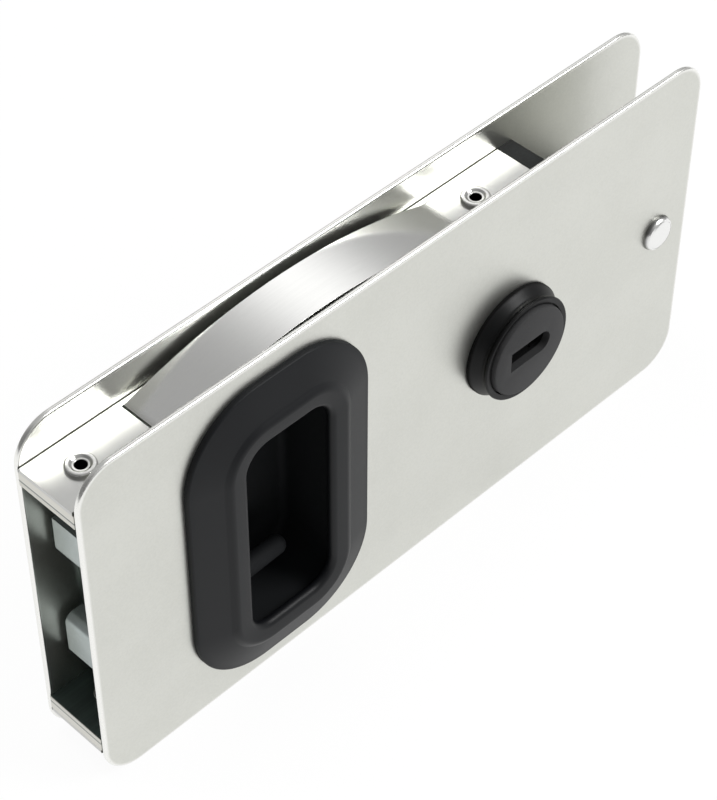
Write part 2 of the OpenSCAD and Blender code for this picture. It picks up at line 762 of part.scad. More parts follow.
// Claw with its pivot at the local origin, gear teeth upward, without a fork
module claw(teeth, right_edge) {
    slab(claw_front_y, claw_front_y + sector_thick) claw_sector(teeth, right_edge);
    slab(claw_front_y, claw_rear_y) claw_arm();
    slab(claw_front_y + sector_thick - eps, claw_rear_y) translate(polar(stud_at_r, claw_swing / 2))
        circle(stud_r);
    slab(claw_front_y, web_y - pass) circle(claw_hub_r);
    slab(-nose_width / 2, nose_width / 2) claw_nose();
    translate([spring_at - claw_at, claw_mid_y, claw_pitch_r - arm_under - stub_h])
        cylinder(r = stub_r, h = stub_h + eps);
}

module upper_claw() {
    color([0.7, 0.72, 0.73]) translate([claw_x, 0, claw_pitch_r]) mirror([0, 0, 1]) difference() {
        claw(upper_teeth, sector_right[1]);
        facing(0, 0, 0) cylinder(r = journal_r + pivot_play, h = 40, center = true);
    }
}

module lower_claw() {
    turn = atan2(drive_u[1], -drive_u[0]);
    color([0.7, 0.72, 0.73]) translate([claw_x, 0, -claw_pitch_r]) difference() {
        union() {
            claw(lower_teeth, sector_right[0]);
            slab(claw_front_y, claw_rear_y) rotate(-turn) translate([0, -4.1]) square([fork_at + 2.4, 8.2]);
        }
        slab(claw_front_y - 1, claw_rear_y + 1) rotate(-turn) translate([fork_at - drive_r - drive_play, 0])
            translate([0, -drive_r - drive_play]) square([10, 2 * drive_r + 2 * drive_play]);
        facing(0, 0, 0) cylinder(r = journal_r + pivot_play, h = 40, center = true);
    }
}

module claw_pins() {
    color([0.72, 0.73, 0.74]) for (side = [-1, 1]) {
        facing(claw_x, half_gap, side * claw_pitch_r) cylinder(r = tenon_r, h = web_thick + eps);
        facing(claw_x, web_y, side * claw_pitch_r)
            cylinder(r = journal_r, h = web_y - claw_front_y + pass + eps);
        facing(claw_x, claw_front_y - pass, side * claw_pitch_r)
            cylinder(r = claw_shoulder_r, h = half_gap + claw_front_y - pass);
    }
}

// Coil spring standing on the local ground: eight-sided wire along a helix, ends drawn flat
module coil(height) {
    rings = 60;
    sides = 8;
    climb = height - 2 * spring_wire_r - 0.1;
    points = [
        for (i = [0:rings]) for (j = [0:sides - 1])
            let (
                t = i / rings,
                a = 360 * spring_turns * t,
                b = 360 * j / sides,
                s = min(1, max(0, (t - 0.06) / 0.88)),
                r = spring_r + spring_wire_r * cos(b)
            )
            [r * cos(a), r * sin(a), spring_wire_r + 0.05 + climb * s + spring_wire_r * sin(b)]
    ];
    walls = [
        for (i = [0:rings - 1]) for (j = [0:sides - 1])
            let (k = (j + 1) % sides)
            [i * sides + j, i * sides + k, (i + 1) * sides + k, (i + 1) * sides + j]
    ];
    first = [[for (j = [sides - 1:-1:0]) j]];
    last = [[for (j = [0:sides - 1]) rings * sides + j]];
    polyhedron(points, concat(walls, first, last));
}

module upper_claw_spring() {
    color([0.55, 0.56, 0.57]) mirror([0, 0, 1]) lower_spring();
}

module lower_claw_spring() {
    color([0.55, 0.56, 0.57]) lower_spring();
}

// Spring between the bottom flange and the lower claw's arm
module lower_spring() {
    translate([spring_at - seat_at, claw_mid_y, spring_low]) coil(spring_high - spring_low);
}

module lock_barrel() {
    waist = lock_waist_r;
    color([0.07, 0.07, 0.07]) difference() {
        facing(lock_x, -outer_y, lock_rise) rotate_extrude() polygon([
            [plug_r + pivot_play, barrel_rear], [barrel_r, barrel_rear], [barrel_r, 0], [lock_base_r, 0],
            [lock_base_r, lock_base_h - 0.25], [lock_base_r - 0.25, lock_base_h],
            [waist + 1.3, 1.6], [waist + 0.55, 2.6], [waist + 0.1, 3.5], [waist, 4], [waist + 0.25, 4.4],
            [lock_lip_r - 0.2, lock_lip_h - 0.75], [lock_lip_r, lock_lip_h - 0.45],
            [lock_lip_r - 0.3, lock_lip_h - 0.1], [lock_lip_r - 0.9, lock_lip_h],
            [plug_face_r + pass, lock_lip_h - 0.1], [plug_face_r + pass, 4.4],
            [plug_neck_r + pass, 4.4], [plug_neck_r + pass, 1.9], [plug_r + pivot_play, 1.9]
        ]);
        for (side = [0, 1]) {
            low = side == 0 ? clip_flat : -clip_flat - groove_deep;
            translate([lock_x - groove_half, -half_gap, lock_rise + low])
                cube([2 * groove_half, clip_thick, groove_deep]);
        }
    }
}

module lock_clip() {
    color([0.5, 0.51, 0.52]) slab(-half_gap, -half_gap + clip_thick) difference() {
        translate([lock_x - clip_left, lock_rise - clip_half]) square([clip_length, 2 * clip_half]);
        translate([lock_x - clip_mouth_left, lock_rise - clip_flat]) square([clip_length, 2 * clip_flat]);
    }
}

module key_plug() {
    slot_half = keyhole_height / 2;
    color([0.16, 0.16, 0.16]) difference() {
        union() {
            facing(lock_x, -outer_y, lock_rise) rotate_extrude() polygon([
                [0, plug_rear], [plug_r, plug_rear], [plug_r, 2.2], [plug_neck_r, 2.2], [plug_neck_r, 4.7],
                [plug_face_r, 4.7], [plug_face_r, plug_face_h - 0.7],
                [plug_face_r - 0.2, plug_face_h - 0.25],
                [plug_face_r - 0.7, plug_face_h], [0, plug_face_h]
            ]);
            facing(lock_x, -outer_y - tail_rear, lock_rise) linear_extrude(plug_rear - tail_rear + eps)
                square([2 * tail_half, 2 * tail_half], center = true);
        }
        facing(lock_x, -outer_y - plug_face_h + keyhole_depth, lock_rise)
            linear_extrude(keyhole_depth + 1) {
            translate([-keyhole_length / 2, keyhole_rise - slot_half])
                square([keyhole_length - slot_half, keyhole_height]);
            translate([keyhole_length / 2 - slot_half, keyhole_rise]) circle(slot_half);
        }
        facing(lock_x, -outer_y - cavity_rear, lock_rise)
            linear_extrude(plug_face_h - keyhole_depth - cavity_rear + eps)
            translate([cavity[0][0], keyhole_rise + cavity[1][0]])
                square([cavity[0][1] - cavity[0][0], cavity[1][1] - cavity[1][0]]);
        facing(lock_x + round_hole_at, -outer_y - cavity_rear, lock_rise + keyhole_rise)
            cylinder(r = round_hole_r, h = plug_face_h - cavity_rear);
        translate([
            lock_x + cavity[0][0] - 0.9, -outer_y - trunnion_h, lock_rise + keyhole_rise + trunnion_z
        ])
            rotate([0, 90, 0]) cylinder(r = trunnion_r + pivot_play, h = cavity[0][1] - cavity[0][0] + 1.8);
        facing(lock_x, -outer_y - tail_rear + 1, lock_rise) cylinder(r = cam_screw_r, h = 5);
    }
}

module key_shutter() {
    left = cavity[0][0] + pass;
    width = cavity[0][1] - cavity[0][0] - 2 * pass;
    bottom = cavity[1][0] + pass;
    color([0.05, 0.05, 0.05]) translate([lock_x, 0, lock_rise + keyhole_rise]) {
        translate([left, -outer_y - trunnion_h - 0.4, bottom]) cube([width, 0.8, trunnion_z - bottom]);
        translate([left - 0.9, -outer_y - trunnion_h, trunnion_z]) rotate([0, 90, 0])
            cylinder(r = trunnion_r, h = width + 1.8);
    }
}

module lock_cam() {
    pin_x = lock_x - crank_side;
    pin_z = lock_rise + crank_up;
    color([0.66, 0.67, 0.68]) difference() {
        union() {
            facing(lock_x, -outer_y - cam_rear, lock_rise) cylinder(r = cam_r, h = plug_rear - cam_rear);
            facing(pin_x, crank_end_y, pin_z)
                cylinder(r = crank_pin_r, h = crank_end_y + outer_y + cam_rear + eps);
        }
        facing(lock_x, -outer_y - tail_rear, lock_rise) linear_extrude(2)
            square([2 * tail_half + 2 * seat_fit, 2 * tail_half + 2 * seat_fit], center = true);
        facing(lock_x, 0, lock_rise) translate([0, 0, -10]) cylinder(r = cam_screw_r + seat_fit, h = 12);
    }
}

module cam_screw() {
    head_y = -outer_y - cam_rear;
    color([0.75, 0.76, 0.77]) difference() {
        union() {
            facing(lock_x, head_y, lock_rise) cylinder(r = cam_screw_r, h = 4.2);
            facing(lock_x, head_y + cam_screw_head_h, lock_rise)
                cylinder(r = cam_screw_head_r, h = cam_screw_head_h);
        }
        facing(lock_x, head_y + cam_screw_head_h + eps, lock_rise) linear_extrude(0.5)
            square([cam_slot_length, cam_slot], center = true);
    }
}

module lock_slide() {
    pad_left = lock_at - slide_pad_left;
    pin_at = lock_at - crank_side;
    reach = crank_pin_r + pass;
    color([0.68, 0.69, 0.7]) {
        slab(slide_front_y, slide_rear_y) difference() {
            union() {
                translate([lug_rest_at - lug_thick - seat_at, -slide_height / 2])
                    square([pad_left + 1 - lug_rest_at + lug_thick, slide_height]);
                translate([pad_left - seat_at, lock_rise - slide_pad_half])
                    square([pin_at + slide_pad_right - pad_left, 2 * slide_pad_half]);
            }
            translate([pin_at - reach - seat_at, lock_rise + crank_up - reach])
                square([2 * reach, crank_r - crank_up + 2 * reach]);
        }
        slab(lug_front_y, slide_front_y + eps) translate([lug_rest_at - lug_thick - seat_at, -lug_half])
            square([lug_thick, 2 * lug_half]);
    }
}

// Tabs of the slide guides that pass through the web
module guide_tabs(y, grow) {
    half = slide_height / 2 + pass;
    for (at = [guide_first_at, guide_second_at]) {
        for (side = [0, 1]) {
            mirror([0, 0, side]) translate([at - 2.5 - grow - seat_at, y, half - grow])
                cube([5 + 2 * grow, half_gap - y + (grow > 0 ? 1 : 0), 1.2 + 2 * grow]);
        }
    }
}

module slide_guides() {
    half = slide_height / 2 + pass;
    front = slide_front_y - pass;
    color([0.64, 0.65, 0.66]) {
        guide_tabs(web_y, 0);
        for (at = [guide_first_at, guide_second_at]) {
            difference() {
                translate([at - 4 - seat_at, front - 1, -half - 1.2])
                    cube([8, web_y - front + 1, 2 * half + 2.4]);
                translate([at - 5 - seat_at, front, -half]) cube([10, 10, 2 * half]);
            }
        }
    }
}

module rear_rose() {
    color([0.08, 0.08, 0.08]) translate([lock_x, 0, lock_rise]) rotate([-90, 0, 0]) rotate_extrude()
        polygon([
        [spindle_r + pivot_play, half_gap], [collar_r + pass, half_gap],
        [collar_r + pass, outer_y], [rose_r, outer_y],
        [rose_r, outer_y + rose_h - 0.9], [rose_r - 0.3, outer_y + rose_h - 0.3],
        [rose_r - 0.9, outer_y + rose_h],
        [spindle_r + pivot_play, outer_y + rose_h]
    ]);
}

module thumb_turn() {
    color([0.12, 0.12, 0.12]) difference() {
        translate([lock_x, 0, lock_rise]) rotate([-90, 0, 0]) {
            rotate_extrude() polygon([
                [0, collar_y], [collar_r, collar_y], [collar_r, collar_y + collar_h],
                [spindle_r, collar_y + collar_h], [spindle_r, knob_y], [turn_disc_r, knob_y],
                [turn_disc_r, knob_y + 1.6], [turn_disc_r - 0.4, knob_y + 2.1],
                [turn_disc_r - 1.2, knob_y + 2.4],
                [0, knob_y + 2.4]
            ]);
            intersection() {
                translate([0, 0, knob_y + 2]) rotate_extrude() polygon([
                    [0, 0], [turn_disc_r - 0.8, 0], [turn_disc_r - 1.2, turn_grip_h * 0.6],
                    [turn_disc_r - 2, turn_grip_h * 0.86], [turn_disc_r - 4, turn_grip_h], [0, turn_grip_h]
                ]);
                translate([0, 0, knob_y]) linear_extrude(2 * turn_grip_h)
                    round_rect(turn_disc_r, turn_grip_w / 2 - 1.5, 1.5);
            }
        }
        facing(lock_x - crank_side, crank_end_y, lock_rise + crank_up) cylinder(r = crank_pin_r, h = 4);
    }
}

// Dome profile over a flat base: height at the axis, radius at the base
module dome(r, h) {
    polygon([
        [0, 0], [r, 0], [r, 0.22 * h], [0.97 * r, 0.42 * h], [0.89 * r, 0.61 * h], [0.75 * r, 0.78 * h],
        [0.55 * r, 0.9 * h], [0.28 * r, 0.98 * h], [0, h]
    ]);
}

module bolt_dome_nut() {
    color([0.85, 0.86, 0.87]) difference() {
        union() {
            facing(bolt_x, -outer_y, lock_rise) rotate_extrude() dome(bolt_head_r, bolt_head_h);
            facing(bolt_x, nut_end_y, lock_rise) cylinder(r = nut_shank_r, h = nut_end_y + outer_y + eps);
        }
        facing(bolt_x, nut_end_y + 1, lock_rise) cylinder(r = bolt_r, h = nut_end_y + 1 - bolt_rear_y);
    }
}

module bolt_screw() {
    color([0.85, 0.86, 0.87]) difference() {
        union() {
            mirror([0, 1, 0]) facing(bolt_x, -outer_y, lock_rise) rotate_extrude()
                dome(bolt_head_r, bolt_head_h);
            facing(bolt_x, outer_y + eps, lock_rise) cylinder(r = bolt_r, h = outer_y - screw_end_y + eps);
        }
        facing(bolt_x, outer_y + bolt_head_h + 1, lock_rise) cylinder(r = 1.75, h = 2.4, $fn = 6);
    }
}

module door_sleeve() {
    color([0.2, 0.2, 0.2]) facing(bolt_x, half_gap, lock_rise) difference() {
        cylinder(r = sleeve_r, h = plate_gap);
        translate([0, 0, -1]) cylinder(r = nut_shank_r + seat_fit, h = plate_gap + 2);
    }
}

front_plate();
rear_plate();
outer_strap();
frame_bar();
chassis();
end_pad();
strap_rivets();
front_cup();
cup_screws();
release_lever();
lever_pin();
lever_clip();
upper_claw();
lower_claw();
claw_pins();
upper_claw_spring();
lower_claw_spring();
lock_barrel();
lock_clip();
key_plug();
key_shutter();
lock_cam();
cam_screw();
lock_slide();
slide_guides();
rear_rose();
thumb_turn();
bolt_dome_nut();
bolt_screw();
door_sleeve();
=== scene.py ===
"""Dresses the flush door latch: cover plates, riveted case, finger cup, claws, key lock and door bolt."""
import logging
import math
from dataclasses import dataclass
from enum import Enum
from itertools import product

import bmesh
import bpy
import numpy as np
from mathutils import Matrix


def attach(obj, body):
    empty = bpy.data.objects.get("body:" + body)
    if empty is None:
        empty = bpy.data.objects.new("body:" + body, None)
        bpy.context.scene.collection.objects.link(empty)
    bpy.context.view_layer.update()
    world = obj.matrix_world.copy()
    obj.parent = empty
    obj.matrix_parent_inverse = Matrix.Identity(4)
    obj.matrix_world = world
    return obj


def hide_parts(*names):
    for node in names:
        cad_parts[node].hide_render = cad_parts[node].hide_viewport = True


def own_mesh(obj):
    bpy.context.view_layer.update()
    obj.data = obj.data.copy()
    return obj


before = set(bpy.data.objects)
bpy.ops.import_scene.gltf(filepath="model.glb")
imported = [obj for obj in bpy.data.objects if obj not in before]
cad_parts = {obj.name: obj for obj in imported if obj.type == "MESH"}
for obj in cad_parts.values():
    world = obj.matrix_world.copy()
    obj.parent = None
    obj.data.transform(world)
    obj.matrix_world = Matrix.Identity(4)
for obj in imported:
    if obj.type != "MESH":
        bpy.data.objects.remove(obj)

LOG = logging.getLogger("latch")
MM = 0.001
# Y of the key plug's face
FACE = -0.01691
# Points nearer than this are one, in metres: in new meshes and in copies of CAD nodes
NEW_GAP = 1e-7
CAD_GAP = 2e-7
# Faces of a CAD copy that meet at less than this are joined, in degrees
FLAT_ANGLE = 0.4
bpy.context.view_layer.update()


class Grain(Enum):
    """Kinds of fine surface texture."""

    PEBBLE = "pebble"
    ROLLED = "rolled"
    TURNED = "turned"
    CAST = "cast"
    MOULDED = "moulded"


class Zone(Enum):
    """Parts of a surface that differ from the rest; most of them carry painted highlight or painted shade."""

    NONE = "none"
    PLATE_RIM_HIGHLIGHT = "plate_rim_highlight"
    SEAM_SHADE = "seam_shade"
    OPEN_END = "open_end"
    BORE_SHADE = "bore_shade"
    KEYWAY_SHADE = "keyway_shade"
    BASE_SHADE = "base"
    WELL_PAINTED_LIGHT = "well"


class Signal:
    """A shader output that can be used in arithmetic."""

    def __init__(self, bench: "Bench", socket: bpy.types.NodeSocket) -> None:
        """Keeps the node bench and the output socket."""
        self.bench = bench
        self.socket = socket

    def _math(self, operation: str, first: object, second: object) -> "Signal":
        """Adds one Math node.

        Args:
            operation: name of the Math node's operation.
            first: number or signal on the first input.
            second: number or signal on the second input.

        Returns:
            The node's value.
        """
        return self.bench.node("ShaderNodeMath", {"operation": operation}, {0: first, 1: second}).out(0)

    def __add__(self, other: object) -> "Signal":
        """Sum."""
        return self._math("ADD", self, other)

    def __radd__(self, other: object) -> "Signal":
        """Sum with a number on the left."""
        return self._math("ADD", other, self)

    def __sub__(self, other: object) -> "Signal":
        """Difference."""
        return self._math("SUBTRACT", self, other)

    def __rsub__(self, other: object) -> "Signal":
        """Difference from a number."""
        return self._math("SUBTRACT", other, self)

    def __mul__(self, other: object) -> "Signal":
        """Product."""
        return self._math("MULTIPLY", self, other)

    def __rmul__(self, other: object) -> "Signal":
        """Product with a number on the left."""
        return self._math("MULTIPLY", other, self)

    def __pow__(self, other: object) -> "Signal":
        """Power."""
        return self._math("POWER", self, other)

    def __abs__(self) -> "Signal":
        """Size without sign."""
        return self._math("ABSOLUTE", self, 0.0)

    def at_least(self, other: object) -> "Signal":
        """The larger of the two."""
        return self._math("MAXIMUM", self, other)

    def at_most(self, other: object) -> "Signal":
        """The smaller of the two."""
        return self._math("MINIMUM", self, other)

    def ramp(self, low: float, high: float) -> "Signal":
        """Smooth step from 0 at low to 1 at high."""
        sockets = {0: self, 1: low, 2: high, 3: 0.0, 4: 1.0}
        return self.bench.node("ShaderNodeMapRange", {"interpolation_type": "SMOOTHSTEP"}, sockets).out(0)


class Made:
    """A node that was added to a bench."""

    def __init__(self, bench: "Bench", node: bpy.types.Node) -> None:
        """Keeps the bench and the node."""
        self.bench = bench
        self.node = node

    def out(self, key: object = 0) -> Signal:
        """One of the node's outputs."""
        return Signal(self.bench, self.node.outputs[key])


class Bench:
    """Adds nodes to one material or world."""

    def __init__(self, tree: bpy.types.NodeTree) -> None:
        """Empties the tree."""
        self.tree = tree
        tree.nodes.clear()

    def node(self, kind: str, settings: dict | None = None, inputs: dict | None = None) -> Made:
        """Adds a node, sets its options first, then its sockets.

        Args:
            kind: node type.
            settings: attribute names to values.
            inputs: socket name or number to a value or a signal.

        Returns:
            The node, ready for its outputs.
        """
        made = self.tree.nodes.new(kind)
        for name, value in (settings or {}).items():
            setattr(made, name, value)
        for key, value in (inputs or {}).items():
            if isinstance(value, Signal):
                self.tree.links.new(value.socket, made.inputs[key])
            else:
                made.inputs[key].default_value = value
        return Made(self, made)

    def place(self, centre: tuple = (0.0, 0.0, 0.0), stretch: tuple = (1.0, 1.0, 1.0)) -> Signal:
        """Object coordinates about a centre, scaled along each axis.

        Args:
            centre: point that becomes the origin, in metres.
            stretch: scale along X, Y and Z.

        Returns:
            The coordinates.
        """
        coords = self.node("ShaderNodeTexCoord").out("Object")
        moved = tuple(-c * s for c, s in zip(centre, stretch))
        return self.node("ShaderNodeMapping", None, {0: coords, 1: moved, 3: stretch}).out(0)

    def noise(self, where: Signal, scale: float, detail: float, rough: float = 0.5) -> Signal:
        """Smooth noise from 0 to 1 at the given scale per metre."""
        sockets = {"Vector": where, "Scale": scale, "Detail": detail, "Roughness": rough}
        return self.node("ShaderNodeTexNoise", None, sockets).out(0)

    def axes(self, where: Signal) -> tuple[Signal, Signal, Signal]:
        """The three numbers of a vector."""
        split = self.node("ShaderNodeSeparateXYZ", None, {0: where})
        return split.out(0), split.out(1), split.out(2)

    def blend(self, share: Signal, first: object, second: object) -> Signal:
        """Colour between first and second by share."""
        return self.node("ShaderNodeMix", {"data_type": "RGBA"}, {0: share, 6: first, 7: second}).out(2)


def rgba(colour: tuple) -> tuple:
    """Colour with full alpha."""
    return (*colour, 1.0)


@dataclass(frozen=True)
class Finish:
    """A material: colour, gloss and fine texture.

    Its tone lies between colour and second, spread is the swing of its roughness, scale counts the
    texture's waves in a metre and bump is their strength. Centre is the origin of the rings, the
    lines and the zone, in metres.
    """

    name: str
    colour: tuple
    second: tuple
    metallic: float
    roughness: float
    spread: float
    grain: Grain
    scale: float
    bump: float
    centre: tuple = (0.0, 0.0, 0.0)
    specular: float = 0.5
    zone: Zone = Zone.NONE
    zone_colour: tuple = (0.0, 0.0, 0.0)
    zone_rough: float = 0.5

    def texture(self, bench: Bench) -> Signal:
        """Fine height pattern from 0 to 1.

        Args:
            bench: node bench of the material.

        Returns:
            The pattern: round pebbles, long rolling lines, rings about an axis, coarse casting skin
            or the fine spark texture of a mould.
        """
        if self.grain is Grain.ROLLED:
            drawn_out = bench.place(self.centre, stretch=(0.03, 1.0, 1.0))
            return bench.noise(drawn_out, self.scale, detail=3.0, rough=0.6)
        if self.grain is Grain.TURNED:
            x, _, z = bench.axes(bench.place(self.centre))
            radius = (x * x + z * z) ** 0.5
            line = bench.node("ShaderNodeCombineXYZ", None, {0: radius}).out(0)
            return bench.noise(line, self.scale, detail=2.0, rough=0.6)
        if self.grain is Grain.CAST:
            broad = bench.noise(bench.place(), self.scale * 0.35, detail=3.0, rough=0.6)
            return broad * 0.5 + bench.noise(bench.place(), self.scale, detail=4.0, rough=0.7) * 0.5
        if self.grain is Grain.MOULDED:
            sockets = {0: bench.place(), 2: self.scale}
            cell = bench.node("ShaderNodeTexVoronoi", {"feature": "SMOOTH_F1"}, sockets).out(0)
            return cell * 0.5 + bench.noise(bench.place(), self.scale * 1.7, detail=2.0, rough=0.6) * 0.5
        return bench.noise(bench.place(), self.scale, detail=2.0, rough=0.55)

    def material(self) -> bpy.types.Material:
        """Builds the material once.

        Returns:
            The material, with colour, roughness and bump that vary over the surface.
        """
        if self.name in bpy.data.materials:
            return bpy.data.materials[self.name]
        made = bpy.data.materials.new(self.name)
        made.use_nodes = True
        bench = Bench(made.node_tree)
        grain = self.texture(bench)
        cloud = bench.noise(bench.place(self.centre), scale=45.0, detail=3.0, rough=0.55)
        share = (grain * 0.55 + cloud * 0.45).ramp(0.32, 0.68)
        colour = bench.blend(share, rgba(self.colour), rgba(self.second))
        swing = (grain - 0.5) * self.spread + (cloud - 0.5) * (self.spread * 0.7)
        rough = self.roughness + swing
        height = grain
        # The zones paint light and shade into the colour: highlight on plate rims, shade along the strap's
        # seams, in rivet bores, in the keyhole and close to the plates, a lighter tone in the cup's well, and
        # the lit tone on the open-end faces.
        if self.zone is not Zone.NONE:
            inside = self.zone_share(bench)
            colour = bench.blend(inside, colour, rgba(self.zone_colour))
            rough = rough + inside * (self.zone_rough - self.roughness - swing * 0.8)
            height = grain * (1.0 - inside)
        sockets = {"Strength": self.bump, "Distance": 0.0001, "Height": height}
        bump = bench.node("ShaderNodeBump", None, sockets).out(0)
        shader = bench.node("ShaderNodeBsdfPrincipled", None, {
            "Base Color": colour, "Roughness": rough.at_least(0.03), "Normal": bump,
            "Metallic": self.metallic, "Specular IOR Level": self.specular})
        bench.node("ShaderNodeOutputMaterial", None, {0: shader.out(0)})
        return made

    def zone_share(self, bench: Bench) -> Signal:
        """Share of the zone's own colour at a point.

        Args:
            bench: node bench of the material.

        Returns:
            1 within the zone and 0 outside it.
        """
        x, y, z = bench.axes(bench.place(self.centre))
        rules = {
            Zone.PLATE_RIM_HIGHLIGHT: self.plate_rim_highlight, Zone.SEAM_SHADE: self.seam_shade, Zone.OPEN_END: self.open_end,
            Zone.BORE_SHADE: self.bore_shade, Zone.KEYWAY_SHADE: self.keyway_shade, Zone.BASE_SHADE: self.base, Zone.WELL_PAINTED_LIGHT: self.well}
        return rules[self.zone](x, y, z)

    def plate_rim_highlight(self, x: Signal, y: Signal, z: Signal) -> Signal:
        """Painted highlight on the last millimetre of a plate toward its rounded outline.

        The distance to a rounded rectangle is the length of the positive part of the place's size
        less the corner centre's.

        Args:
            x: place along the plate, from its middle.
            y: depth, not used.
            z: place up the plate, from its middle.

        Returns:
            1 at the outline.
        """
        corner_x, corner_z = 0.089, 0.040
        inner, outer = 0.0088, 0.0097
        dx = (abs(x) - corner_x).at_least(0.0)
        dz = (abs(z) - corner_z).at_least(0.0)
        return ((dx * dx + dz * dz) ** 0.5).ramp(inner, outer)

    def seam_shade(self, x: Signal, y: Signal, z: Signal) -> Signal:
        """Painted shade along the long edges of the strap, where it meets the plates, and a little of the
        same dark colour on the rest, which is darker and rougher than the upper tongue.

        Args:
            x: place along the case, not used.
            y: depth.
            z: height.

        Returns:
            1 at the edges, 0 on the upper tongue and about 0.3 on the rest.
        """
        edge_from, edge_to = 0.00840, 0.00854
        flat_to, tongue_from, duller = 0.0404, 0.0412, 0.3
        edges = abs(y).ramp(edge_from, edge_to)
        return edges.at_least((1.0 - z.ramp(flat_to, tongue_from)) * duller)

    def open_end(self, x: Signal, y: Signal, z: Signal) -> Signal:
        """Faces at the open end, which get the steel's lit tone while the rest of the bar and channel keep a
        darker tone of painted shade, with dark joints between the layers.

        Args:
            x: place along the case.
            y: depth, not used.
            z: height.

        Returns:
            1 on the end faces and 0 at the joints.
        """
        joint_z, dark_to, clear_from = 0.0371, 0.00016, 0.00026
        end_from, end_to = 0.15030, 0.15040
        joint = abs(abs(z) - joint_z).ramp(dark_to, clear_from)
        return (0.0 - x).ramp(end_from, end_to) * joint

    def bore_shade(self, x: Signal, y: Signal, z: Signal) -> Signal:
        """Painted shade inside the rivets' open cores, below their heads.

        Args:
            x: place along the case.
            y: depth.
            z: height.

        Returns:
            1 within the cores.
        """
        open_side, door_side = 0.1408, 0.0218
        inner, outer = 0.00156, 0.00166
        core_to, head_from = 0.0409, 0.0411
        off = abs(x + open_side).at_most(abs(x + door_side))
        within = 1.0 - ((off * off + y * y) ** 0.5).ramp(inner, outer)
        return within * (1.0 - abs(z).ramp(core_to, head_from))

    def keyway_shade(self, x: Signal, y: Signal, z: Signal) -> Signal:
        """Painted shade in the keyhole from 2 mm behind the plug's face.

        Args:
            x: place across, from the lock's axis.
            y: depth.
            z: height, from the lock's axis.

        Returns:
            1 in the deep part of the hole.
        """
        inner, outer = 0.0085, 0.0090
        lit_to, dark_from = 0.0019, 0.0021
        within = 1.0 - ((x * x + z * z) ** 0.5).ramp(inner, outer)
        return y.ramp(FACE + lit_to, FACE + dark_from) * within

    def base(self, x: Signal, y: Signal, z: Signal) -> Signal:
        """Painted shade close to either plate: 1 there and 0 from 1.5 mm above it."""
        near, far = 0.0107, 0.0117
        return 1.0 - abs(y).ramp(near, far)

    def well(self, x: Signal, y: Signal, z: Signal) -> Signal:
        """Painted light inside the cup: 1 behind the front plate's face and 0 from about 2 mm before it."""
        before, behind = -0.0125, -0.0100
        return y.ramp(before, behind)


# Painted highlight: the rim zone gives the plates a lighter colour along their rounded outline, standing for
# the bright edge.
SATIN = Finish(
    name="satin_sheet", colour=(0.70, 0.705, 0.66), second=(0.665, 0.67, 0.625), metallic=1.0,
    roughness=0.36, spread=0.10, grain=Grain.PEBBLE, scale=1900.0, bump=0.16, centre=(-0.0515, 0.0, 0.0),
    zone=Zone.PLATE_RIM_HIGHLIGHT, zone_colour=(0.90, 0.90, 0.87), zone_rough=0.27)
# Painted shade: the seam zone paints a dark line along the strap's long edges, where it meets the plates.
STRAP = Finish(
    name="polished_strap", colour=(0.80, 0.80, 0.785), second=(0.78, 0.78, 0.765), metallic=1.0,
    roughness=0.17, spread=0.03, grain=Grain.ROLLED, scale=1500.0, bump=0.02, zone=Zone.SEAM_SHADE,
    zone_colour=(0.05, 0.05, 0.036), zone_rough=0.6)
# Painted shade: the bar's own tone is darker than its end faces at the open end, which carry the lit tone of
# the same steel.
BAR = Finish(
    name="drawn_bar", colour=(0.30, 0.32, 0.30), second=(0.24, 0.26, 0.24), metallic=1.0, roughness=0.30,
    spread=0.12, grain=Grain.ROLLED, scale=1400.0, bump=0.2, zone=Zone.OPEN_END,
    zone_colour=(0.66, 0.65, 0.60), zone_rough=0.34)
# Painted shade: the channel's dark teal tone stands for shade inside the case; its end faces at the open end
# carry the lit tone of the same steel.
INNER = Finish(
    name="inner_channel", colour=(0.135, 0.172, 0.161), second=(0.095, 0.122, 0.113), metallic=0.9,
    roughness=0.36, spread=0.12, grain=Grain.ROLLED, scale=1200.0, bump=0.2, zone=Zone.OPEN_END,
    zone_colour=(0.62, 0.61, 0.56), zone_rough=0.34)
# Painted shade: near-black colour inside the rivets' open cores.
RIVET = Finish(
    name="rivet_steel", colour=(0.72, 0.72, 0.70), second=(0.62, 0.62, 0.60), metallic=1.0, roughness=0.16,
    spread=0.08, grain=Grain.PEBBLE, scale=2400.0, bump=0.12, zone=Zone.BORE_SHADE,
    zone_colour=(0.004, 0.004, 0.004), zone_rough=0.7)
PAD = Finish(
    name="end_rubber", colour=(0.020, 0.021, 0.021), second=(0.028, 0.030, 0.029), metallic=0.0,
    roughness=0.62, spread=0.12, grain=Grain.MOULDED, scale=2200.0, bump=0.5, specular=0.12)
# Painted light: the well zone gives the inside of the cup a slightly lighter, bluer tone than the rest of the
# same moulding.
PLASTIC = Finish(
    name="moulded_black", colour=(0.0034, 0.0040, 0.0052), second=(0.0046, 0.0054, 0.0068), metallic=0.0,
    roughness=0.46, spread=0.08, grain=Grain.MOULDED, scale=2600.0, bump=0.14, specular=0.24,
    zone=Zone.WELL_PAINTED_LIGHT, zone_colour=(0.0062, 0.0072, 0.0084), zone_rough=0.75)
CLAW = Finish(
    name="claw_casting", colour=(0.48, 0.535, 0.525), second=(0.40, 0.45, 0.44), metallic=0.6,
    roughness=0.33, spread=0.14, grain=Grain.CAST, scale=900.0, bump=0.25)
PIN = Finish(
    name="turned_pin", colour=(0.60, 0.61, 0.62), second=(0.50, 0.51, 0.52), metallic=1.0, roughness=0.26,
    spread=0.10, grain=Grain.PEBBLE, scale=2000.0, bump=0.15)
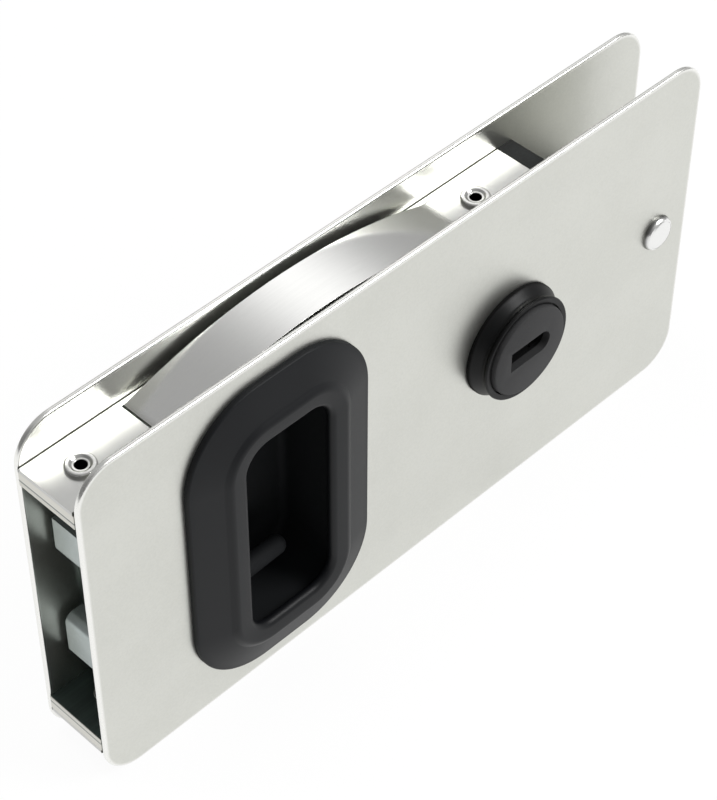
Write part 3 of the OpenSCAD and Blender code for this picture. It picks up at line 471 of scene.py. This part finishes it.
SPRING = Finish(
    name="spring_wire", colour=(0.42, 0.43, 0.44), second=(0.34, 0.35, 0.36), metallic=1.0, roughness=0.30,
    spread=0.10, grain=Grain.ROLLED, scale=2600.0, bump=0.2)
# Painted shade: the base zone darkens the barrel, rose and grip where they stand close to a plate.
BLACK = Finish(
    name="black_barrel", colour=(0.0022, 0.0023, 0.0025), second=(0.0032, 0.0034, 0.0037), metallic=0.0,
    roughness=0.40, spread=0.08, grain=Grain.TURNED, scale=2600.0, bump=0.10,
    centre=(-0.0185, 0.0, 0.0007), specular=0.19, zone=Zone.BASE_SHADE, zone_colour=(0.0010, 0.0010, 0.0010),
    zone_rough=0.85)
# Painted shade: the deep part of the keyhole is coloured near black.
PLUG = Finish(
    name="plug_face", colour=(0.038, 0.038, 0.039), second=(0.045, 0.045, 0.046), metallic=0.0,
    roughness=0.54, spread=0.08, grain=Grain.PEBBLE, scale=2300.0, bump=0.18,
    centre=(-0.0185, 0.0, 0.0007), specular=0.12, zone=Zone.KEYWAY_SHADE, zone_colour=(0.0030, 0.0030, 0.0030),
    zone_rough=0.8)
SHUTTER = Finish(
    name="shutter_black", colour=(0.0030, 0.0030, 0.0030), second=(0.0050, 0.0050, 0.0050), metallic=0.0,
    roughness=0.55, spread=0.1, grain=Grain.PEBBLE, scale=2000.0, bump=0.25, specular=0.1)
# Painted shade: the base zone darkens the nut's side where it stands close to the plate.
BOLT = Finish(
    name="bolt_polish", colour=(0.90, 0.90, 0.89), second=(0.86, 0.86, 0.85), metallic=1.0, roughness=0.26,
    spread=0.05, grain=Grain.TURNED, scale=2200.0, bump=0.03, centre=(0.0358, 0.0, 0.0007), zone=Zone.BASE_SHADE,
    zone_colour=(0.22, 0.22, 0.215), zone_rough=0.3)
WORKS = Finish(
    name="works_steel", colour=(0.50, 0.51, 0.52), second=(0.41, 0.42, 0.43), metallic=1.0, roughness=0.32,
    spread=0.12, grain=Grain.ROLLED, scale=1500.0, bump=0.2)
SLEEVE = Finish(
    name="sleeve_moulding", colour=(0.035, 0.035, 0.036), second=(0.048, 0.048, 0.049), metallic=0.0,
    roughness=0.5, spread=0.1, grain=Grain.MOULDED, scale=2200.0, bump=0.3)


def arc_path(corners: np.ndarray, radii: list, steps: int) -> np.ndarray:
    """Rounds the corners of an open polyline.

    Each corner is replaced by an arc that touches both sides: it starts at the tangent length
    radius times the tangent of half the turn before the corner, and its points are turned about
    the arc's centre by equal angles.

    Args:
        corners: points, one row each.
        radii: radius at each corner, 0 for a sharp one and at both ends.
        steps: points along an arc.

    Returns:
        The points of the rounded polyline.
    """
    out = [corners[:1]]
    for i in range(1, len(corners) - 1):
        here, back, ahead = corners[i], corners[i - 1] - corners[i], corners[i + 1] - corners[i]
        back, ahead = back / np.linalg.norm(back), ahead / np.linalg.norm(ahead)
        half = 0.5 * math.acos(float(np.clip(back @ ahead, -1, 1)))
        if radii[i] <= 0 or half > math.pi / 2 - 1e-3:
            out.append(here[None])
            continue
        bisector = (back + ahead) / np.linalg.norm(back + ahead)
        centre = here + bisector * radii[i] / math.sin(half)
        start = here + back * radii[i] / math.tan(half) - centre
        end = here + ahead * radii[i] / math.tan(half) - centre
        total = math.pi - 2 * half
        t = np.linspace(0, 1, steps)[:, None]
        out.append(centre + (np.sin((1 - t) * total) * start + np.sin(t * total) * end) / math.sin(total))
    out.append(corners[-1:])
    return np.concatenate(out)


def grid_faces(rows: int, cols: int, wrap: bool) -> np.ndarray:
    """Quads of a grid of rows by columns.

    Args:
        rows: number of rows of points.
        cols: number of points in a row.
        wrap: whether the last column joins the first.

    Returns:
        Four point numbers for each quad: the point, one right of it, one right and up, one up.
    """
    span = cols if wrap else cols - 1
    r, c = np.meshgrid(np.arange(rows - 1), np.arange(span), indexing="ij")
    right = (c + 1) % cols
    quads = np.stack([r * cols + c, r * cols + right, (r + 1) * cols + right, (r + 1) * cols + c], -1)
    return quads.reshape(-1, 4)


class Piece:
    """A mesh object of this latch."""

    def __init__(self, name: str, points: np.ndarray, faces: np.ndarray) -> None:
        """Makes the mesh, closes its seams and poles and turns its faces outward.

        Args:
            name: name of the piece.
            points: corners in metres.
            faces: four corner numbers for each face.
        """
        mesh = bpy.data.meshes.new(name)
        mesh.from_pydata(points.reshape(-1, 3).tolist(), [], faces.tolist())
        self.thing = bpy.data.objects.new(name, mesh)
        bpy.context.scene.collection.objects.link(self.thing)
        self.heal(NEW_GAP, turn=True)

    def heal(self, gap: float, turn: bool) -> "Piece":
        """Merges points closer than gap and, if asked, turns the faces outward.

        Args:
            gap: distance in metres.
            turn: whether to work out the outward side anew.

        Returns:
            The piece.
        """
        work = bmesh.new()
        work.from_mesh(self.thing.data)
        bmesh.ops.remove_doubles(work, verts=work.verts, dist=gap)
        bmesh.ops.dissolve_degenerate(work, edges=work.edges, dist=gap)
        if turn:
            bmesh.ops.recalc_face_normals(work, faces=work.faces)
        work.to_mesh(self.thing.data)
        work.free()
        return self

    def smooth(self, degrees: float) -> "Piece":
        """Shades smoothly, except across sharp edges.

        Args:
            degrees: angle from which an edge counts as sharp.

        Returns:
            The piece.
        """
        mesh = self.thing.data
        mesh.polygons.foreach_set("use_smooth", np.ones(len(mesh.polygons), bool))
        mesh.set_sharp_from_angle(angle=math.radians(degrees))
        return self

    def bevel(self, width: float, segments: int = 2, degrees: float = 50.0) -> "Piece":
        """Rounds the sharp edges.

        Args:
            width: width of the rounding in millimetres.
            segments: steps across it.
            degrees: angle from which an edge counts as sharp.

        Returns:
            The piece.
        """
        mod = self.thing.modifiers.new("edges", "BEVEL")
        mod.width = width * MM
        mod.segments = segments
        mod.limit_method = "ANGLE"
        mod.angle_limit = math.radians(degrees)
        mod.use_clamp_overlap = True
        mod.harden_normals = True
        return self

    def finish(self, *looks: Finish) -> "Piece":
        """Gives the piece its materials.

        Args:
            looks: finishes, one for each slot.

        Returns:
            The piece.
        """
        self.thing.data.materials.clear()
        for look in looks:
            self.thing.data.materials.append(look.material())
        return self

    def settle(self, body: str, slot: str, *nodes: str) -> "Piece":
        """Joins the piece to a body and hides the CAD nodes that it stands for.

        Args:
            body: body that carries the piece.
            slot: name of a material slot, not used.
            nodes: nodes that it replaces.

        Returns:
            The piece.
        """
        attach(self.thing, body)
        if nodes:
            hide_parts(*nodes)
        LOG.info("%s: %d faces on %s", self.thing.name, len(self.thing.data.polygons), body)
        return self


class Copied(Piece):
    """A copy of a CAD node whose triangles are joined into clean faces."""

    def __init__(self, node: str, name: str) -> None:
        """Copies the node's mesh, merges it and dissolves flat edges.

        Args:
            node: CAD node.
            name: name of the new piece.
        """
        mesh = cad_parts[node].data.copy()
        mesh.name = name
        self.thing = bpy.data.objects.new(name, mesh)
        bpy.context.scene.collection.objects.link(self.thing)
        if mesh.attributes.get("custom_normal"):
            mesh.attributes.remove(mesh.attributes["custom_normal"])
        self.heal(CAD_GAP, turn=False)
        work = bmesh.new()
        work.from_mesh(mesh)
        limit = math.radians(FLAT_ANGLE)
        bmesh.ops.dissolve_limit(work, angle_limit=limit, verts=work.verts, edges=work.edges)
        work.to_mesh(mesh)
        work.free()


def revolve(name: str, profile: np.ndarray, centre: tuple, axis: int, sign: float, count: int) -> Piece:
    """Turns a profile about an axis.

    A point at radius r and height h goes to the centre plus sign times h along the axis, and r
    times the cosine and sine of the angle along the other two axes.

    Args:
        name: name of the piece.
        profile: rows of radius and height in millimetres.
        centre: origin of the profile in millimetres.
        axis: 0, 1 or 2 for X, Y or Z.
        sign: +1 or -1, the way that the height grows.
        count: points round the axis.

    Returns:
        The piece.
    """
    angle = np.linspace(0, 2 * math.pi, count, endpoint=False)
    others = [k for k in range(3) if k != axis]
    points = np.zeros((len(profile), count, 3)) + np.array(centre)
    points[..., axis] += sign * profile[:, 1:2]
    points[..., others[0]] += profile[:, :1] * np.cos(angle)
    points[..., others[1]] += profile[:, :1] * np.sin(angle)
    return Piece(name, points * MM, grid_faces(len(profile), count, True))


def joined(name: str, pieces: list) -> Piece:
    """One piece from several.

    Args:
        name: name of the result.
        pieces: pieces, all in place.

    Returns:
        The first piece, holding all the meshes.
    """
    work = bmesh.new()
    for piece in pieces:
        work.from_mesh(piece.thing.data)
    first = pieces[0]
    work.to_mesh(first.thing.data)
    work.free()
    for piece in pieces[1:]:
        bpy.data.objects.remove(piece.thing)
    first.thing.name = name
    first.thing.data.name = name
    return first


@dataclass
class CoverPlates:
    """The two satin plates. A face counts as broad from an area in square metres."""

    smooth_angle: float = 30.0
    broad: float = 1e-4
    nodes: tuple = ("front_plate", "rear_plate")

    def keep_flat(self, mesh: bpy.types.Mesh) -> None:
        """Parts the shading of the two broad faces from that of the rounded edges.

        Args:
            mesh: plate whose broad faces get sharp edges all round.
        """
        area = np.zeros(len(mesh.polygons))
        corners = np.zeros(len(mesh.polygons), int)
        edge = np.zeros(len(mesh.loops), int)
        mesh.polygons.foreach_get("area", area)
        mesh.polygons.foreach_get("loop_total", corners)
        mesh.loops.foreach_get("edge_index", edge)
        sharp = np.zeros(len(mesh.edges), bool)
        mesh.attributes["sharp_edge"].data.foreach_get("value", sharp)
        sharp[edge[np.repeat(area > self.broad, corners)]] = True
        mesh.attributes["sharp_edge"].data.foreach_set("value", sharp)

    def build(self) -> None:
        """Copies both plates with joined faces and smooth rounded edges."""
        for node in self.nodes:
            piece = Copied(node, node + "_sheet").smooth(self.smooth_angle)
            self.keep_flat(piece.thing.data)
            piece.finish(SATIN).settle("case", "satin_plate", node)


@dataclass
class CaseFrame:
    """Strap with its bowed tongues, frame bar, chassis, end pad and rivets, in millimetres."""

    rivets: tuple = (-140.8, -21.8)
    top: float = 40.5
    inner: float = 35.5
    head: float = 3.6
    rise: float = 1.0
    core: float = 1.45
    shank: float = 2.2
    collar: float = 0.9
    collar_h: float = 0.8
    dish: float = 2.5
    dish_floor: float = 1.95
    dish_depth: float = 0.4
    strap_edge: float = 0.22
    bar_edge: float = 0.2
    chassis_edge: float = 0.12
    pad_edge: float = 0.35

    def rivet(self, x: float, side: float) -> Piece:
        """One rivet: dished head over an open core, with a collar inside the case.

        Args:
            x: place along the case in millimetres.
            side: +1 on top, -1 below.

        Returns:
            The piece: the head's and core's corners are rounded and the profile is turned about Z.
        """
        tall = self.top + self.rise
        low = self.inner - self.collar_h
        wide = self.shank + self.collar
        corners = np.array([
            [self.core, low], [wide, low], [wide, self.inner], [self.shank, self.inner],
            [self.shank, self.top], [self.head, self.top], [self.head, tall], [self.dish, tall],
            [self.dish_floor, tall - self.dish_depth], [self.core, tall - self.dish_depth], [self.core, low]])
        profile = arc_path(corners, [0, 0.2, 0, 0, 0, 0, 0.5, 0.3, 0.3, 0.12, 0], steps=9)
        return revolve("rivet", profile, (x, 0.0, 0.0), axis=2, sign=side, count=72)

    def build(self) -> None:
        """Builds the rivets and dresses the folded parts."""
        made = [self.rivet(x, side) for x in self.rivets for side in (1.0, -1.0)]
        rivets = joined("strap_rivet_set", made).smooth(degrees=40.0).finish(RIVET)
        rivets.settle("case", "bright_strap", "strap_rivets")
        strap = Copied("outer_strap", "outer_strap_sheet").smooth(degrees=25.0).bevel(self.strap_edge)
        strap.finish(STRAP).settle("case", "bright_strap", "outer_strap")
        bar = Copied("frame_bar", "frame_bar_flat").bevel(self.bar_edge).smooth(degrees=25.0)
        bar.finish(BAR).settle("case", "bar_steel", "frame_bar")
        channel = Copied("chassis", "chassis_channel").bevel(self.chassis_edge).smooth(degrees=25.0)
        channel.finish(INNER).settle("case", "bar_steel", "chassis")
        pad = Copied("end_pad", "end_pad_block").bevel(self.pad_edge, segments=3).smooth(degrees=25.0)
        pad.finish(PAD).settle("case", "pad_rubber", "end_pad")


@dataclass
class FingerCup:
    """The recessed cup: one profile carried round a rounded rectangle, in millimetres."""

    centre_x: float = -95.6
    face_y: float = -10.25
    half_run: float = 6.2
    half_rise: float = 23.3
    corner_steps: int = 28
    body_reach: float = 10.8
    depth: float = 16.2
    floor: float = 1.2
    rim_reach: float = 21.0
    rim_edge: float = 1.45
    slope_end: tuple = (12.8, 4.0)
    crest: tuple = (11.3, 5.05)
    mouth: float = 6.35
    mouth_high: float = 4.75
    mouth_low: float = 2.75
    well: float = 9.3
    well_top: float = 1.3
    slot_low: tuple = (-113.9, -6.55, -26.4)
    slot_high: tuple = (-109.4, -0.95, -19.3)
    floor_rings: int = 4
    lever_edge: float = 0.25

    def profile(self) -> np.ndarray:
        """Section from under the floor, up the outside, over the rim and down the well to the floor.

        Returns:
            Rows of reach from the corner centres and height above the plate, corners rounded.
        """
        inside = self.floor - self.depth
        corners = np.array([
            [0.0, -self.depth], [self.body_reach, -self.depth], [self.body_reach, 0.0], [self.rim_reach, 0.0],
            [self.rim_reach, self.rim_edge], self.slope_end, self.crest, [self.mouth, self.mouth_high],
            [self.mouth, self.mouth_low], [self.well, self.well_top], [self.well, inside], [0.0, inside]])
        radii = [0, 0.8, 0, 0, 0.6, 1.6, 2.2, 1.6, 0.4, 0.9, 2.0, 0]
        return arc_path(corners, radii, steps=12)

    def path(self, reach: np.ndarray) -> np.ndarray:
        """Rounded rectangle at each reach.

        The four corner centres stand at plus and minus the half sizes, and each corner adds the reach
        times the cosine and sine of an angle that runs through a quarter turn. The straight sides run
        from the last point of one corner to the first of the next.

        Args:
            reach: distance from the corner centres, one for each row.

        Returns:
            Points across and up, rows by columns by two.
        """
        quarter = np.linspace(0, math.pi / 2, self.corner_steps)
        angle = np.concatenate([quarter + k * math.pi / 2 for k in range(4)])
        sx = np.repeat([1, -1, -1, 1], self.corner_steps) * self.half_run
        sz = np.repeat([1, 1, -1, -1], self.corner_steps) * self.half_rise
        across = sx[None] + reach[:, None] * np.cos(angle)[None]
        up = sz[None] + reach[:, None] * np.sin(angle)[None]
        return np.stack([across, up], -1)

    def shell(self) -> Piece:
        """The moulding as one closed surface.

        Returns:
            The piece: both floors close in to the middle by scaling the innermost ring to a point.
        """
        profile = self.profile()
        flat = self.path(profile[:, 0])
        rings = self.floor_rings
        shrink = np.linspace(0, 1, rings + 1)[:-1, None, None]
        under, floor = flat[:1] * shrink, flat[-1:] * shrink[::-1]
        flat = np.concatenate([under, flat, floor])
        low, high = np.full(rings, profile[0, 1]), np.full(rings, profile[-1, 1])
        height = np.concatenate([low, profile[:, 1], high])
        rows, cols = flat.shape[:2]
        depth = np.broadcast_to(self.face_y - height[:, None], (rows, cols))
        points = np.stack([self.centre_x + flat[..., 0], depth, flat[..., 1]], -1)
        return Piece("finger_cup_moulding", points * MM, grid_faces(rows, cols, True))

    def cut(self, piece: Piece, low: tuple, high: tuple) -> None:
        """Takes a box out of the piece.

        Args:
            piece: piece to cut.
            low: lowest corner in millimetres.
            high: highest corner in millimetres.
        """
        corners = np.array(list(product(*zip(low, high)))) * MM
        quads = np.array([
            [0, 1, 3, 2], [4, 6, 7, 5], [0, 4, 5, 1], [2, 3, 7, 6], [0, 2, 6, 4], [1, 5, 7, 3]])
        tool = Piece("slot_tool", corners, quads)
        mod = piece.thing.modifiers.new("slot", "BOOLEAN")
        mod.operation = "DIFFERENCE"
        mod.solver = "EXACT"
        mod.object = tool.thing
        graph = bpy.context.evaluated_depsgraph_get()
        mesh = bpy.data.meshes.new_from_object(piece.thing.evaluated_get(graph))
        piece.thing.modifiers.clear()
        piece.thing.data = mesh
        bpy.data.objects.remove(tool.thing)

    def build(self) -> None:
        """Builds the cup and its screws and dresses them."""
        cup = self.shell()
        self.cut(cup, self.slot_low, self.slot_high)
        cup.smooth(degrees=38.0).finish(PLASTIC).settle("case", "cup_plastic", "front_cup")
        screws = Copied("cup_screws", "cup_screw_set").smooth(degrees=30.0)
        screws.finish(PIN).settle("case", "pin_steel", "cup_screws")
        lever = Copied("release_lever", "release_bar_lever").smooth(degrees=40.0)
        lever.bevel(self.lever_edge, degrees=55.0).finish(PLASTIC)
        lever.settle("lever_body", "cup_plastic", "release_lever")


@dataclass
class Claws:
    """The two geared claws with pins and coil springs, in millimetres."""

    smooth_angle: float = 30.0
    edge: float = 0.3
    spring_x: float = -132.0
    spring_seat: float = 35.5
    spring_keep: float = 0.70

    def spring(self, which: str) -> None:
        """Coil copied from its CAD node and set in the case.

        Args:
            which: upper or lower.
        """
        node = which + "_claw_spring"
        coil = Copied(node, which + "_claw_coil").smooth(degrees=60.0).finish(SPRING)
        coil.settle("case", "pin_steel", node)
        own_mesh(coil.thing)

    def build(self) -> None:
        """Dresses claws, pins and springs."""
        for node, body in (("upper_claw", "upper_claw_body"), ("lower_claw", "lower_claw_body")):
            claw = Copied(node, node + "_casting").smooth(self.smooth_angle)
            claw.bevel(self.edge, segments=3, degrees=40.0).finish(CLAW).settle(body, "cast_claw", node)
        self.spring("upper")
        self.spring("lower")
        for node in ("claw_pins", "lever_pin", "lever_clip"):
            Copied(node, node + "_turned").smooth(degrees=35.0).finish(PIN).settle("case", "pin_steel", node)


@dataclass
class KeyLock:
    """Barrel, plug, shutter and the works behind them, in millimetres."""

    x: float = -18.5
    z: float = 0.7
    face_y: float = -10.25
    bore_r: float = 7.55
    body_r: float = 9.5
    body_h: float = 12.25
    flange_r: float = 15.4
    flange_h: float = 0.95
    waist: tuple = (13.35, 3.75)
    lip: tuple = (14.3, 4.95)
    crown: tuple = (14.1, 5.5)
    mouth: tuple = (12.6, 5.42)
    recess_h: float = 4.4
    seat_r: float = 9.0
    seat_h: float = 1.9
    plug_edge: float = 0.18

    def barrel(self) -> Piece:
        """The black ring: base flange, waist, lip and the recess round the plug.

        Returns:
            The piece: the section's corners are rounded and it is turned about the lock's axis.
        """
        corners = np.array([
            [self.bore_r, -self.body_h], [self.body_r, -self.body_h], [self.body_r, 0.0],
            [self.flange_r, 0.0], [self.flange_r, self.flange_h], self.waist, self.lip, self.crown,
            self.mouth, [self.mouth[0], self.recess_h], [self.seat_r, self.recess_h],
            [self.seat_r, self.seat_h], [self.bore_r, self.seat_h], [self.bore_r, -self.body_h]])
        radii = [0, 0.3, 0, 0, 0.4, 1.2, 0.3, 0.3, 0.25, 0, 0, 0, 0, 0]
        section = arc_path(corners, radii, steps=9)
        origin = (self.x, self.face_y, self.z)
        return revolve("lock_barrel_ring", section, origin, axis=1, sign=-1.0, count=144)

    def build(self) -> None:
        """Builds the barrel and dresses the rest."""
        self.barrel().smooth(degrees=40.0).finish(BLACK).settle("case", "black_metal", "lock_barrel")
        plug = Copied("key_plug", "key_plug_turned").smooth(degrees=30.0)
        plug.bevel(self.plug_edge, segments=3, degrees=40.0).finish(PLUG)
        plug.settle("rotor", "plug_metal", "key_plug")
        flap = Copied("key_shutter", "key_shutter_flap").smooth(degrees=35.0)
        flap.finish(SHUTTER).settle("shutter_body", "black_metal", "key_shutter")
        for node, body in (("lock_clip", "case"), ("lock_cam", "rotor"), ("cam_screw", "rotor"),
                           ("lock_slide", "slide_body"), ("slide_guides", "case")):
            Copied(node, node + "_steel").smooth(degrees=30.0).finish(WORKS).settle(body, "pin_steel", node)


@dataclass
class RearTurn:
    """Rose and thumb turn on the rear plate, in millimetres."""

    edge: float = 0.25

    def build(self) -> None:
        """Dresses both; the grip's edges are softened."""
        rose = Copied("rear_rose", "rear_rose_ring").smooth(degrees=40.0)
        rose.finish(BLACK).settle("case", "black_metal", "rear_rose")
        grip = Copied("thumb_turn", "thumb_turn_grip").smooth(degrees=30.0)
        grip.bevel(self.edge, segments=3, degrees=40.0).finish(BLACK)
        grip.settle("rotor", "black_metal", "thumb_turn")


@dataclass
class DoorBolt:
    """Domed nut and screw with the sleeve between the plates, in millimetres."""

    x: float = 35.8
    z: float = 0.7
    face_y: float = -10.25
    head_r: float = 4.9
    rim_h: float = 1.1
    shoulder: tuple = (2.9, 2.2)
    crown_h: float = 2.3
    shank_r: float = 3.0
    shank_h: float = 14.25
    thread_r: float = 2.0
    thread_top: float = 6.25
    screw_edge: float = 0.12

    def nut(self) -> Piece:
        """Front nut: domed head on a hollow shank.

        Returns:
            The piece: the section's corners are rounded and it is turned about Y.
        """
        corners = np.array([
            [0.0, self.crown_h], self.shoulder, [self.head_r, self.rim_h], [self.head_r, 0.0],
            [self.shank_r, 0.0], [self.shank_r, -self.shank_h], [self.thread_r, -self.shank_h],
            [self.thread_r, -self.thread_top], [0.0, -self.thread_top]])
        section = arc_path(corners, [0, 7.0, 2.0, 0, 0, 0.2, 0, 0, 0], steps=12)
        return revolve("dome_nut_turned", section, (self.x, self.face_y, self.z), axis=1, sign=-1.0, count=96)

    def build(self) -> None:
        """Builds the nut and dresses the screw and sleeve."""
        self.nut().smooth(degrees=40.0).finish(BOLT).settle("case", "polished_bolt", "bolt_dome_nut")
        screw = Copied("bolt_screw", "bolt_screw_turned").smooth(degrees=35.0).bevel(self.screw_edge)
        screw.finish(BOLT).settle("case", "polished_bolt", "bolt_screw")
        sleeve = Copied("door_sleeve", "door_sleeve_tube").smooth(degrees=35.0)
        sleeve.finish(SLEEVE).settle("case", "sleeve_plastic", "door_sleeve")


@dataclass(frozen=True)
class Viewpoint:
    """Camera recovered from the straight edges of both plates.

    Angles are in degrees, distance, across, down and target in millimetres, and the sensor is
    36 mm wide on the photo's longer side.
    """

    azimuth: float = -45.212
    elevation: float = 45.461
    roll: float = 0.166
    focal_px: float = 2424.76
    distance: float = 567.026
    across: float = 13.141
    down: float = 2.239
    target: tuple = (-51.5, -10.25, 0.0)
    height_px: float = 800.0
    sensor: float = 36.0
    clip: float = 0.01

    def build(self) -> None:
        """Places the camera: its axes come from azimuth, elevation and roll about the target."""
        a, e, r = (math.radians(v) for v in (self.azimuth, self.elevation, self.roll))
        ahead = -np.array([math.sin(a) * math.cos(e), -math.cos(a) * math.cos(e), math.sin(e)])
        right = np.cross(ahead, [0, 0, 1])
        right /= np.linalg.norm(right)
        below = np.cross(ahead, right)
        turn = np.array([[math.cos(r), -math.sin(r), 0], [math.sin(r), math.cos(r), 0], [0, 0, 1]])
        axes = turn @ np.array([right, below, ahead])
        where = (np.array(self.target) - axes.T @ np.array([self.across, self.down, self.distance])) * MM
        data = bpy.data.cameras.new("photo_view")
        data.sensor_fit = "AUTO"
        data.sensor_width = self.sensor
        data.lens = self.focal_px * self.sensor / self.height_px
        data.clip_start = self.clip
        eye = bpy.data.objects.new("photo_view", data)
        bpy.context.scene.collection.objects.link(eye)
        frame_axes = np.eye(4)
        frame_axes[:3, :3] = np.array([axes[0], -axes[1], -axes[2]]).T
        frame_axes[:3, 3] = where
        eye.matrix_world = Matrix(frame_axes.tolist())
        bpy.context.scene.camera = eye


@dataclass(frozen=True)
class Studio:
    """Pale floor, white surroundings and soft lamps.

    Places and sizes are in metres, powers in watts. Fade is how far the mirrored floor darkens
    away from the object. The field is the direction of the brightest part of the mirrored
    surroundings, tight and glow are its power and strength, grey and dim the tones above and
    below the horizon, and left is the loss toward the left.
    """

    floor_z: float = -0.050
    floor_half: float = 4.0
    floor_tones: tuple = (0.90, 0.94)
    floor_seen: float = 0.95
    floor_mirrored: float = 0.86
    fade: float = 0.5
    fade_range: tuple = (0.25, 1.2)
    sky: float = 0.40
    seen: float = 1.0
    dim: float = 0.20
    grey: float = 0.44
    horizon: tuple = (-0.02, 0.2)
    field: tuple = (0.5215, 0.5315, 0.6675)
    tight: float = 46.0
    glow: float = 0.95
    left: float = 0.55
    left_range: tuple = (0.2, 0.7)
    middle: tuple = (-0.05, 0.0, 0.0)
    key_place: tuple = (0.8, -1.0, 1.25)
    key_size: float = 0.8
    key_watts: float = 22.0
    top_place: tuple = (-0.3, 0.35, 1.7)
    top_size: float = 0.9
    top_watts: float = 14.0

    def white_for_view(self, bench: Bench) -> Signal:
        """Share of plain white on the floor: less where it is mirrored far from the object.

        Args:
            bench: node bench of the floor's material.

        Returns:
            floor_seen for the camera, 1 for transmitted rays, floor_mirrored near the object and less
            far off for mirrored rays, 0 for the rest.
        """
        path = bench.node("ShaderNodeLightPath")
        x, y, _ = bench.axes(bench.place(self.middle))
        far = ((x * x + y * y) ** 0.5).ramp(*self.fade_range)
        mirrored = path.out("Is Glossy Ray") * (self.floor_mirrored - far * self.fade)
        seen = path.out("Is Camera Ray") * self.floor_seen
        return seen.at_least(mirrored).at_least(path.out("Is Transmission Ray"))

    def floor(self) -> None:
        """A wide floor that shows white and keeps the object's shadow."""
        ends = [-self.floor_half, self.floor_half]
        x, y = np.meshgrid(ends, ends)
        points = np.stack([x, y, np.full_like(x, self.floor_z)], -1)
        ground = Piece("studio_floor", points, grid_faces(2, 2, False)).thing
        made = bpy.data.materials.new("pale_floor")
        made.use_nodes = True
        bench = Bench(made.node_tree)
        tone = bench.noise(bench.place(), scale=3.0, detail=2.0)
        first, second = (rgba((level, level, level)) for level in self.floor_tones)
        colour = bench.blend(tone, first, second)
        matt = bench.node("ShaderNodeBsdfDiffuse", None, {0: colour})
        white = bench.node("ShaderNodeEmission", None, {0: (1.0, 1.0, 1.0, 1.0), 1: 1.0})
        share = self.white_for_view(bench)
        mix = bench.node("ShaderNodeMixShader", None, {0: share, 1: matt.out(0), 2: white.out(0)})
        bench.node("ShaderNodeOutputMaterial", None, {0: mix.out(0)})
        ground.data.materials.append(made)

    def surroundings(self) -> None:
        """World: white where it is seen, and a soft white field over the object where it is mirrored.

        The mirrored field is a power of the cosine to its middle, on a grey that darkens toward the
        horizon and toward the left.
        """
        world = bpy.data.worlds.new("studio_white")
        bpy.context.scene.world = world
        world.use_nodes = True
        bench = Bench(world.node_tree)
        path = bench.node("ShaderNodeLightPath")
        x, y, z = bench.axes(bench.node("ShaderNodeTexCoord").out("Generated"))
        near = (x * self.field[0] + y * self.field[1] + z * self.field[2]).at_least(0.0)
        mirrored = near ** self.tight * self.glow + z.ramp(*self.horizon) * (self.grey - self.dim) + self.dim
        mirrored = mirrored * (1.0 - (0.0 - x).ramp(*self.left_range) * self.left)
        glossy = path.out("Is Glossy Ray")
        clear = path.out("Is Camera Ray").at_least(path.out("Is Transmission Ray"))
        strength = self.sky * (1.0 - glossy) * (1.0 - clear) + glossy * mirrored + clear * self.seen
        light = bench.node("ShaderNodeBackground", None, {0: (1.0, 1.0, 1.0, 1.0), 1: strength})
        bench.node("ShaderNodeOutputWorld", None, {0: light.out(0)})

    def lamp(self, name: str, place: tuple, size: float, watts: float, mirrored: bool) -> None:
        """A soft square lamp aimed at the object.

        Args:
            name: name of the lamp.
            place: position in metres.
            size: side in metres.
            watts: power.
            mirrored: whether shiny surfaces show it.
        """
        data = bpy.data.lights.new(name, "AREA")
        data.shape = "SQUARE"
        data.size = size
        data.energy = watts
        lamp = bpy.data.objects.new(name, data)
        bpy.context.scene.collection.objects.link(lamp)
        back = np.array(place) - np.array(self.middle)
        back /= np.linalg.norm(back)
        side = np.cross([0, 0, 1], back)
        side /= np.linalg.norm(side)
        axes = np.eye(4)
        axes[:3, :3] = np.array([side, np.cross(back, side), back]).T
        axes[:3, 3] = place
        lamp.matrix_world = Matrix(axes.tolist())
        lamp.visible_glossy = mirrored

    def build(self) -> None:
        """Sets the stage and the plain colour view."""
        self.floor()
        self.surroundings()
        self.lamp("key_lamp", self.key_place, self.key_size, self.key_watts, True)
        self.lamp("top_lamp", self.top_place, self.top_size, self.top_watts, False)
        bpy.context.scene.view_settings.view_transform = "Standard"


def main() -> None:
    """Builds every sub-assembly in order."""
    logging.basicConfig(level=logging.INFO, format="%(name)s: %(message)s")
    Viewpoint().build()
    Studio().build()
    CoverPlates().build()
    CaseFrame().build()
    FingerCup().build()
    Claws().build()
    KeyLock().build()
    RearTurn().build()
    DoorBolt().build()


if __name__ == "__main__":
    main()
